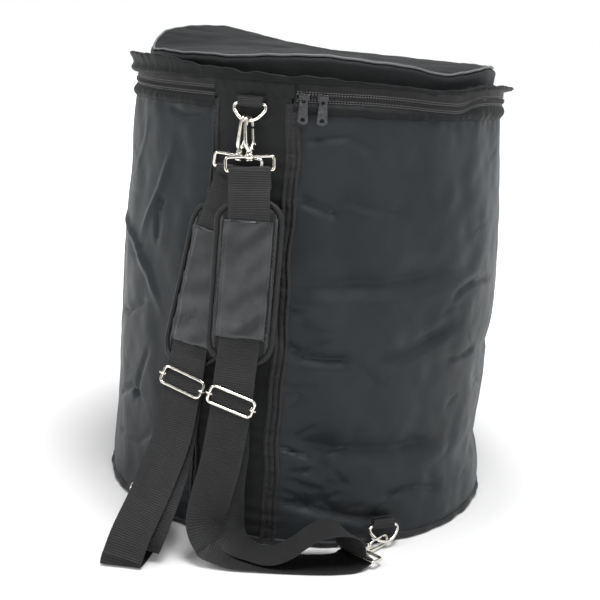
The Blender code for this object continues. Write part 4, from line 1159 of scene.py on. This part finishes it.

# The cloth hinge between the bag and its lid.
web_low = 0.5405
web_high = 0.5605
degs = np.linspace(-PANEL_DEG - 0.55, PANEL_DEG + 0.55, 46)
az, z = np.meshgrid(degs, np.linspace(web_low, web_high, 14), indexing="ij")
bulge = 0.0012 * np.sin((z - web_low) / (web_high - web_low) * math.pi)
bulge = bulge + 0.0004 * np.sin(np.radians(az) * 120 + z * 300)
outer = polar(R_TOP + 0.0008 + bulge, az, z)
inner = polar(R_TOP - 0.0006 + bulge, az, z)
web = loop_shell("hinge_web", np.concatenate([outer, inner[:, ::-1]], 1), "panel", False,
                 stands_for=["lid_hinge_web"], ride=False)
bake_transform(web)


# ------------------------------------------------------------------ rings on their tabs
def d_ring(tag, deg, z_bar, r_bar, sew_up, swing_out):
    """A wire D-ring hanging in a folded webbing tab; the bar is its straight side."""
    out = unit(polar(1.0, deg, 0.0))
    along = azimuth_dir(deg)
    bar = polar(r_bar, deg, z_bar)
    hw = RING_W / 2 - RING_WIRE
    drop = RING_H - 2 * RING_WIRE
    path = [(-0.6, 0.0), (0.0, 0.0), (0.6, 0.0), (0.88, -0.02), (1.0, -0.14), (0.98, -0.36)]
    path = [(x * hw, z * drop) for x, z in path]
    for k in range(1, 8):
        b = math.radians(-20 - 140 * k / 8)
        path.append((hw * 0.98 * math.cos(b), drop * (-0.36 + 0.64 * (math.sin(b) + 0.342) / 0.658)))
    path += [(x * hw, z * drop) for x, z in ((-0.98, -0.36), (-1.0, -0.14), (-0.88, -0.02))]
    lean = math.radians(swing_out)
    hang = UP * math.cos(lean) - out * math.sin(lean)
    pts = [bar + along * x + hang * z for x, z in path]
    smooth_path = catmull(np.array([pts[-1]] + pts + [pts[0], pts[1]]), 6)[6:-6]
    node = "ring_" + tag
    make("d_" + node, *tube(smooth_path[:-1], RING_WIRE, True, 18), "nickel", body=node, stands_for=[node])
    r_loop = RING_WIRE + GAP + 0.0006
    profile = [(-r_loop, sew_up * share) for share in (1.0, 0.6, 0.3)]
    for k in range(13):
        b = math.radians(180 + 15 * k)
        profile.append((r_loop * math.cos(b), r_loop * math.sin(b)))
    profile += [(r_loop - 0.0004 * share, sew_up * share) for share in (0.3, 0.6, 0.95)]
    rows = [np.append(bar + out * x + UP * z, along) for x, z in profile]
    loops, _ = ribbed(catmull(rows, 4), 0.030, 0.0012, pitch=0.0018, deep=0.00016)
    loop_shell("tab_" + tag, loops, "webbing", False, stands_for=["ring_tab_" + tag], angle=80.0)
    bits = Bits()
    for x in np.arange(-0.0130, 0.0125, 0.0024):
        for z in (sew_up * 0.5, sew_up * 0.78):
            p = bar + out * (r_loop + 0.0006) + UP * z + along * x
            bits.stitch(p, p + along * 0.0016, 0.0003)
    bits.make("tab_stitches_" + tag, "stitch")


LOW_RING = (0.0258, float(wall_r(0.03)) + 0.0050, 0.0110, 32.0)
d_ring("top", 0.0, 0.5315, R_TOP + 0.0062, 0.0085, 17.0)
d_ring("right", 43.0, *LOW_RING)
d_ring("left", -29.5, *LOW_RING)


# ------------------------------------------------------------------ snap hooks
def square_to(tip, side):
    """The unit direction nearest to side that is square to tip."""
    u = unit(tip)
    side = np.asarray(side, float)
    return unit(side - u * side.dot(u))


TURNED = 28


def collar_faces(rings):
    """A turned profile closed round on itself, from its last ring back to its first."""
    last = (rings - 1) * TURNED
    rim = [(last + j, j, (j + 1) % TURNED, last + (j + 1) % TURNED) for j in range(TURNED)]
    return quads(rings, TURNED, False, True) + rim


def snap_hook(tag, bar, tip, wide, plane):
    """Swivel snap hook: wire base, cast hook on its stem, and a sprung gate with a thumb lever."""
    bar = np.asarray(bar, float)
    u = unit(tip)
    b = square_to(tip, wide)
    n = square_to(tip, plane)
    m = np.cross(n, u)

    def laid(path, side=n):
        return [bar + side * x + u * y for x, y in path]

    def turned(profile):
        """Rings of radius r at height y round the swivel's axis."""
        spokes = [n * math.cos(TAU * i / TURNED) + m * math.sin(TAU * i / TURNED) for i in range(TURNED)]
        return np.array([[bar + u * y + spoke * r for spoke in spokes] for r, y in profile])

    # The base: half its wire outline, mirrored, then the collar that the stem turns in.
    hw = BASE_W / 2 - BASE_WIRE
    s = SHOULDER_U
    c = 0.0034
    half = [(0.0042, s), (0.012, s), (hw - c, s - 0.0001), (hw - 0.0010, s - 0.0010), (hw, s - c),
            (hw, 0.5 * s), (hw, c), (hw - 0.0010, 0.0010), (hw - c, 0.0), (0.01, 0.0)]
    base = Bits()
    base.tube(catmull(laid([(-x, y) for x, y in half] + half[::-1], b), 5), BASE_WIRE, sides=14)
    collar = turned([(0.0027, s - 0.0028), (0.0048, s - 0.0028), (0.0055, s - 0.0018), (0.0057, s),
                     (0.0055, s + 0.0018), (0.0048, s + 0.0028), (0.0027, s + 0.0028)])
    base.add(list(collar.reshape(-1, 3)), collar_faces(len(collar)))
    base.make("clip_base_" + tag, "nickel", stands_for=["hook_base_" + tag], angle=40.0)

    # The hook: its stem, the long shank that thins to a rounded end, and the gate's shoulder and pin.
    hook = Bits()
    hook.loops(turned([(0.0022, s - 0.0054), (0.0040, s - 0.0050), (0.0042, s - 0.0036), (0.0022, s - 0.0030),
                       (0.0022, s + 0.0032), (0.0040, s + 0.0036), (0.0041, s + 0.0056), (0.0034, s + 0.0072),
                       (0.0020, s + 0.0086)]))
    hh = HOOK_HALF
    end = HOOK_END_U - HOOK_WIRE
    low = s + 0.0098
    path = [(0.0, s + 0.0055), (-0.0030, s + 0.0085), (-hh + 0.0008, s + 0.0125), (-hh, s + 0.0180),
            (-hh, end - 0.020), (-hh, end - 0.011)]
    for k in range(1, 9):
        turn = math.radians(180 - 22.5 * k)
        path.append((hh * math.cos(turn), end - hh + hh * math.sin(turn)))
    path.append((hh, end - hh - 0.0035))
    shank = catmull(laid(path), 6)
    share = np.linspace(0.0, 1.0, len(shank))
    thick = 0.0024 - 0.0007 * smoothstep(share / 0.5) - 0.0003 * smoothstep((share - 0.9) / 0.1)
    hook.tube(shank, thick, sides=16)
    shoulder = laid(((-0.0010, s + 0.0060), (0.0016, s + 0.0078), (0.0033, low)))
    hook.tube(catmull(shoulder, 6), 0.0021, sides=14)
    pivot = bar + n * 0.0033 + u * low
    pin = [pivot + m * x for x in (-0.0027, -0.0025, 0.0025, 0.0027)]
    hook.tube(pin, [0.0009, 0.0014, 0.0014, 0.0009], sides=14)
    node = "hook_body_" + tag
    hook.make("clip_body_" + tag, "nickel", body=node, stands_for=[node], angle=40.0)

    # The gate: its rail, thumb lever and spring.
    top = end - hh - 0.0035 - HOOK_WIRE - 0.0008
    gate = Bits()
    rail = catmull(laid([(0.0033, low), (0.0046, low + 0.003), (hh, low + 0.008),
                         (hh, 0.5 * (low + top) + 0.004), (hh, top)]), 6)
    gate.tube(rail, np.linspace(0.0017, 0.00135, len(rail)), sides=14)
    lever = catmull(laid([(hh - 0.0006, low + 0.0085), (hh + 0.0020, low + 0.0072),
                          (hh + 0.0036, low + 0.0052)]), 5)
    gate.tube(lever, np.linspace(0.0013, 0.0009, len(lever)), sides=12)
    spring = []
    for k in range(60):
        turn = TAU * k / 12
        across = m * (-0.0012 + 0.0024 * k / 59)
        spring.append(pivot + across + n * (0.0021 * math.cos(turn)) + u * (0.0021 * math.sin(turn)))
    gate.tube(spring, 0.00028, sides=6)
    node = "hook_gate_" + tag
    gate.make("clip_gate_" + tag, "nickel", body=node, stands_for=[node], angle=40.0)


TIPS = {"upper_right": (-0.158, 0.210, 0.965), "upper_left": (0.088, 0.055, 0.995),
        "lower_right": (0.40, 0.92, 0.0), "lower_left": (-0.6036, 0.8006, 0.0)}
SEATS = {"upper_right": (0.0015, -0.2571, 0.5125), "upper_left": (-0.0042, -0.2570, 0.5128)}
BARS = {k: np.array(SEATS[k]) - unit(TIPS[k]) * HOOK_SEAT_U for k in SEATS}
BARS["lower_right"] = np.array((0.1660, -0.2534, 0.0092))
BARS["lower_left"] = np.array((-0.1040, -0.2841, 0.0092))
WIDES = {"upper_right": azimuth_dir(14.0), "upper_left": azimuth_dir(10.0),
         "lower_right": (-0.92, 0.40, 0.0), "lower_left": (0.8006, 0.6036, 0.0)}
WIDES = {k: square_to(TIPS[k], w) for k, w in WIDES.items()}
PLANES = {"upper_right": (0.30, 0.95, 0.0), "upper_left": (0.15, 0.97, 0.0),
          "lower_right": (0.0, 0.0, 1.0), "lower_left": (0.0, 0.0, 1.0)}
for tag in TIPS:
    snap_hook(tag, BARS[tag], TIPS[tag], WIDES[tag], PLANES[tag])

# ------------------------------------------------------------------ straps
FOLD_R = BASE_WIRE + 0.0006 + WEB_T / 2


def fold(bar, start_dir, turn_dir, w, steps=14):
    """Webbing rows going half round a wire bar."""
    s = unit(start_dir)
    t = unit(turn_dir)
    rows = []
    for k in range(steps + 1):
        b = math.pi * k / steps
        rows.append(np.append(np.asarray(bar) + s * (FOLD_R * math.cos(b)) + t * (FOLD_R * math.sin(b)), w))
    return rows


def puff(obj, voxel, pressure, cap):
    """Swells a closed pad by cloth pressure, with its points' travel capped."""
    remesh = obj.modifiers.new("even", "REMESH")
    remesh.mode = "VOXEL"
    remesh.voxel_size = voxel
    mesh = evaluated_mesh(obj)
    obj.modifiers.remove(remesh)
    obj.data = mesh
    rest = np.array([v.co for v in mesh.vertices], float)
    cloth = obj.modifiers.new("swell", "CLOTH")
    cloth.settings.use_pressure = True
    cloth.settings.uniform_pressure_force = pressure
    cloth.settings.effector_weights.gravity = 0.0
    cloth.settings.quality = 4
    scene = bpy.context.scene
    for f in range(1, 21):
        scene.frame_set(f)
    moved = obj.evaluated_get(bpy.context.evaluated_depsgraph_get())
    now = np.array([v.co for v in moved.data.vertices], float)
    obj.modifiers.remove(cloth)
    scene.frame_set(1)
    step = now - rest
    size = np.linalg.norm(step, axis=1, keepdims=True)
    step *= np.minimum(1.0, cap / np.maximum(size, 1e-9))
    mesh.vertices.foreach_set("co", (rest + step).ravel())
    mesh.update()


def on_rows(points, p, w):
    """For each point the nearest row, and how far it lies along that row's width."""
    nearest = np.array([((p - point) ** 2).sum(1).argmin() for point in points])
    return nearest, np.sum((points - p[nearest]) * w[nearest], 1)


def shoulder_pad(side, rows):
    """Crowned pad with rounded ends, spacer-mesh borders and a sewn channel down each side."""
    rows, length = resample(rows, 0.0030)
    p, _, w, n = frames(rows)
    off = -(WEB_T / 2 + 2 * GAP + PAD_T / 2)
    corner = 0.024
    narrowest = 0.020
    count = len(rows)
    dist = np.linspace(0.0, length, count)
    near = np.minimum(dist, length - dist)
    rounding = np.sqrt(np.maximum(0.0, corner ** 2 - (corner - near) ** 2))
    half = np.where(near < corner, PAD_W / 2 - corner + rounding, PAD_W / 2)
    half = np.maximum(half, narrowest)
    us = np.sin(np.linspace(-1.0, 1.0, 27) * math.pi / 2)
    loops = []
    for sign in (1.0, -1.0):
        for u in (us if sign > 0 else us[::-1]):
            crown = 0.0021 + (PAD_T / 2 - 0.0026) * (1 - abs(u) ** 5) * smoothstep(near / 0.012)
            loops.append(p + w * (half * u)[:, None] + n * (off + sign * crown)[:, None])
    name = "shoulder_pad_" + side
    pad = loop_shell(name, np.stack(loops, 1), "pad", False, stands_for=["pad_" + side], ride=False)
    puff(pad, 0.0042, 4.0, 0.0022)
    mesh = pad.data
    co = np.array([v.co for v in mesh.vertices], float)
    near_row, across = on_rows(co, p, w)
    deep = np.sum((co - p[near_row]) * n[near_row], 1) - off
    channel = np.exp(-((np.abs(across) - PAD_CHANNEL) / 0.0022) ** 2)
    co -= n[near_row] * (deep * 0.42 * channel)[:, None]
    mesh.vertices.foreach_set("co", co.ravel())
    mesh.materials.clear()
    mesh.materials.append(material("pad", name + "_mat"))
    mesh.materials.append(material("mesh", name + "_mesh"))
    _, across = on_rows(np.array([f.center for f in mesh.polygons], float), p, w)
    mesh.polygons.foreach_set("material_index", (np.abs(across) > PAD_CHANNEL).astype(np.int32))
    mesh.shade_smooth()
    subdivide(pad)
    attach(pad, "bag")
    # A corded edge all round the pad, and the stitches down its two channels.
    out = w * (half + 0.0004)[:, None]
    middle = p + n * off
    closed = np.vstack([middle + out, (middle - out)[::-1], (middle + out)[:1]])
    d = np.linalg.norm(np.diff(closed, axis=0), axis=1)
    s = np.concatenate([[0.0], np.cumsum(d)])
    places = np.linspace(0.0, s[-1], int(s[-1] / 0.0011), endpoint=False)
    loop = np.stack([np.interp(places, s, closed[:, k]) for k in range(3)], 1)
    thick = 0.0031 + 0.00018 * np.sin(places * TAU / 0.0033)
    make("pad_edge_" + side, *tube(loop, thick, True, 10), "binding", angle=80.0)
    bits = Bits()
    for sign in (1.0, -1.0):
        line = p + w * (sign * PAD_CHANNEL) + n * (off + 0.0032)
        for i in range(6, count - 8, 2):
            bits.stitch(line[i], line[i + 1], 0.00034)
    bits.make("pad_stitches_" + side, "stitch")


def vinyl_patch(side, rows, seed):
    """Vinyl patch drawn over the webbing: high over the strap, low at its stitched edges."""
    rows, length = resample(rows, 0.0020)
    p, _, w, n = frames(rows)
    count = len(rows)
    dist = np.linspace(0.0, length, count)
    ends = smoothstep(dist / 0.003) * smoothstep((length - dist) / 0.003)
    rng = random.Random(seed)
    waves = [(rng.uniform(30, 190), rng.uniform(30, 150), rng.uniform(0, TAU)) for _ in range(10)]
    base = WEB_T / 2 + 2 * GAP
    front = []
    back = []
    for u in np.linspace(-1.0, 1.0, 41):
        x = u * PATCH_W / 2
        over = 1.0 - smoothstep((abs(x) - 0.0225) / 0.0030)
        inside = smoothstep((1.0 - abs(u)) / 0.05) * ends
        crumple = sum(np.cos(dist * a1 + x * b1 * 1.6 + c1) for a1, b1, c1 in waves) / 10.0
        lift = base - 0.0012 + 0.0019 * over + 0.0013 * inside + 0.0034 * crumple * inside
        front.append(p + w * x + n * lift[:, None])
        back.append(p + w * x + n * (base - 0.0014 + 0.0012 * over))
    loops = np.concatenate([np.stack(front, 1), np.stack(back, 1)[:, ::-1]], 1)
    patch = loop_shell("vinyl_" + side, loops, "vinyl", False, stands_for=["patch_" + side], angle=60.0)
    tree = BVHTree.FromObject(patch, bpy.context.evaluated_depsgraph_get())
    bits = Bits()

    def lie(i, x):
        """The patch's surface at row i, x off its middle."""
        point = p[i] + w[i] * x
        hit = tree.ray_cast(Vector(point + n[i] * 0.01), Vector(-n[i]), 0.02)
        return np.array(hit[0]) if hit[0] is not None else point

    rim = PATCH_W / 2 - 0.0026
    for x in (rim, -rim):
        for i in range(2, count - 3, 2):
            bits.stitch(lie(i, x), lie(i + 1, x), 0.00036)
    for i in (2, count - 3):
        for x in np.arange(-rim, rim - 0.002, 0.0036):
            bits.stitch(lie(i, x), lie(i, x + 0.0022), 0.00036)
    bits.make("vinyl_stitches_" + side, "stitch")


def rows_between(rows, high, low):
    return np.array([r for r in rows if low <= r[2] <= high])


def strap(side, main, floor_rows, back, pad_z, patch_z, tri_z, seed):
    """One shoulder strap, from its upper hook round the lower hook and back to the adjuster."""
    upper = "upper_" + side
    lower = "lower_" + side
    tip = unit(TIPS[upper])
    w0 = WIDES[upper]
    n0 = unit(np.cross(-tip, w0))
    head = fold(BARS[upper], -n0, tip, w0)
    tail = [np.append(BARS[upper] - n0 * (FOLD_R + 0.0002) - tip * dz, w0) for dz in (0.022, 0.010)]
    down = catmull([head[-1]] + main, 12)[1:]
    floor_part = catmull([main[-1]] + floor_rows, 12)[1:]
    turn_rows = fold(BARS[lower], (0.0, 0.0, -1.0), TIPS[lower], WIDES[lower])
    first_back = catmull([turn_rows[-1]] + back, 12)[1:]
    i = int(np.argmin(np.abs(down[:, 2] - tri_z)))
    p, t, w, n = [part[i] for part in frames(down)]

    def local(x, y, d):
        return p + w * x - t * y + n * d

    # The returning end folds round the adjuster's loose bar, behind the strap.
    deep = -0.0072
    turn_back = ((-0.030, -0.002), (-0.018, 0.0), (0.0, 0.0), (0.016, 0.0), (0.0205, 0.0009),
                 (0.0220, 0.0027), (0.0205, 0.0045), (0.016, 0.0053), (0.0, 0.0053), (-0.018, 0.0050))
    ends = [np.append(local(0.0, y, deep + d), w) for y, d in turn_back]
    rows = np.vstack([tail, head, down, floor_part, turn_rows, first_back[:-1]])
    rows = np.vstack([rows, catmull([first_back[-1]] + ends[:2], 8)[:-1], catmull(ends[1:], 4)])
    loops, length = ribbed(rows, WEB_W, WEB_T, quiet_end=0.09)
    loop_shell("strap_" + side, loops, "webbing", False, stands_for=["webbing_" + side], angle=80.0)
    shoulder_pad(side, rows_between(down, *pad_z))
    vinyl_patch(side, rows_between(down, *patch_z), seed)

    tilt = math.radians(TRI_TILT_DEG)
    ct = math.cos(tilt)
    st = math.sin(tilt)

    def turned(x, y, d):
        return local(x * ct - y * st, x * st + y * ct, d)

    lift = WEB_T / 2 + TRI_WIRE + GAP
    corner = 0.005
    outline = []
    for sx, sy, a0 in ((1, 1, 0), (-1, 1, 90), (-1, -1, 180), (1, -1, 270)):
        for k in range(9):
            b = math.radians(a0 + 90 * k / 8)
            outline.append((sx * (TRI_HALF_W - corner) + corner * math.cos(b),
                            sy * (TRI_HALF_H - corner) + corner * math.sin(b)))
    node = "slider_frame_" + side
    wire = tube([turned(x, y, lift) for x, y in outline], TRI_WIRE, True, 16)
    make("adjuster_" + side, *wire, "nickel", body=node, stands_for=[node])
    ring = TRI_WIRE + TRI_BAR_WIRE + GAP
    deep_bar = deep + 0.00265
    end_path = []
    for deg in (150, 110, 70, 30, -10, -45):
        b = math.radians(deg)
        end_path.append((TRI_HALF_W + ring * math.cos(b), lift + ring * math.sin(b)))
    end_path += [(TRI_HALF_W + 0.0022, -0.0018), (TRI_HALF_W + 0.0010, deep_bar + 0.0006),
                 (TRI_HALF_W - 0.0020, deep_bar)]
    bar_path = end_path + [(0.0, deep_bar)] + [(-x, d) for x, d in reversed(end_path)]
    node = "slider_bar_" + side
    wire = tube(catmull([turned(x, 0.0, d) for x, d in bar_path], 4), TRI_BAR_WIRE, False, 14)
    make("adjuster_bar_" + side, *wire, "nickel", body=node, stands_for=[node])
    return length


def route(*rows):
    """Webbing rows from (x, y, z, width), where the width's direction is an azimuth or is given."""
    return [np.array((x, y, z, *(azimuth_dir(w) if np.isscalar(w) else w)), float) for x, y, z, w in rows]


right_main = route(
    (0.0125, -0.2745, 0.4430, 14), (0.0150, -0.2795, 0.4260, 10), (0.0172, -0.2830, 0.4000, 10),
    (0.0168, -0.2860, 0.3350, 10), (0.0158, -0.2892, 0.2700, 10), (0.0152, -0.2930, 0.2380, 14),
    (0.0149, -0.2980, 0.2150, 14), (0.0147, -0.3018, 0.1930, 14), (0.0140, -0.3056, 0.1710, 14),
    (0.0100, -0.3140, 0.1200, 18), (0.0030, -0.3220, 0.0780, (0.90, 0.40, 0.0)),
    (-0.0010, -0.3260, 0.0450, (0.70, 0.68, 0.0)), (0.0080, -0.3270, 0.0210, (0.40, 0.90, 0.10)))
right_lower = route(
    (0.0320, -0.3200, 0.0080, (-0.10, 0.98, 0.12)), (0.0600, -0.3100, 0.0025, (-0.36, 0.93, 0.0)),
    (0.1000, -0.2950, 0.0010, (-0.45, 0.89, 0.0)), (0.1350, -0.2800, 0.0010, (-0.66, 0.75, 0.0)),
    (0.1550, -0.2680, 0.0022, (-0.88, 0.46, 0.0)), (0.1625, -0.2610, 0.0046, (-0.92, 0.40, 0.0)))
right_back = route(
    (0.1625, -0.2625, 0.0190, (-0.92, 0.40, 0.0)), (0.1600, -0.2660, 0.0380, (-0.85, 0.52, 0.0)),
    (0.1450, -0.2740, 0.0490, (-0.55, 0.83, 0.0)), (0.1220, -0.2840, 0.0420, (-0.42, 0.90, 0.0)),
    (0.0980, -0.2930, 0.0210, (-0.42, 0.90, 0.0)), (0.0760, -0.2985, 0.0090, (-0.38, 0.92, 0.0)),
    (0.0520, -0.2990, 0.0070, (-0.22, 0.97, 0.0)), (0.0300, -0.3000, 0.0145, (0.15, 0.98, 0.10)),
    (0.0170, -0.3005, 0.0340, (0.60, 0.80, 0.10)), (0.0110, -0.2990, 0.0620, (0.88, 0.48, 0.0)),
    (0.0100, -0.2970, 0.0920, (0.93, 0.36, 0.0)), (0.0120, -0.2955, 0.1250, 14))
left_main = route(
    (-0.0105, -0.2640, 0.4440, 6), (-0.0180, -0.2645, 0.4260, -4),
    (-0.0260, -0.2640, 0.4050, -10), (-0.0320, -0.2640, 0.3830, -12),
    (-0.0420, -0.2700, 0.3150, -12), (-0.0510, -0.2775, 0.2460, -8),
    (-0.0520, -0.2843, 0.2240, -2), (-0.0522, -0.2920, 0.2020, 0),
    (-0.0524, -0.2997, 0.1800, 2), (-0.0545, -0.3150, 0.1373, 6),
    (-0.0638, -0.3430, 0.0830, 10), (-0.0730, -0.3720, 0.0400, 12),
    (-0.0770, -0.3880, 0.0120, 13))
left_lower = route(
    (-0.0785, -0.3880, 0.0035, 14), (-0.0800, -0.3800, 0.0009, 15),
    (-0.0835, -0.3500, 0.0009, 20), (-0.0900, -0.3180, 0.0012, 30),
    (-0.0986, -0.2915, 0.0046, 37))
left_back = route(
    (-0.0930, -0.2990, 0.0165, 37), (-0.0835, -0.3200, 0.0180, 28),
    (-0.0750, -0.3450, 0.0130, 18), (-0.0690, -0.3620, 0.0140, 14),
    (-0.0630, -0.3660, 0.0250, 12), (-0.0585, -0.3590, 0.0430, 12),
    (-0.0540, -0.3420, 0.0720, 10), (-0.0520, -0.3230, 0.1020, 8),
    (-0.0515, -0.3070, 0.1350, 4))
# For each strap: its routes, then the heights between which the pad and the patch lie, the adjuster's
# height and the seed of the patch's wrinkles.
right_length = strap("right", right_main, right_lower, right_back,
                     (0.4245, 0.2380), (0.4060, 0.2640), 0.1930, 5)
left_length = strap("left", left_main, left_lower, left_back,
                    (0.4060, 0.2250), (0.3860, 0.2440), 0.2020, 8)
print("strap lengths in metres", round(right_length, 3), round(left_length, 3))
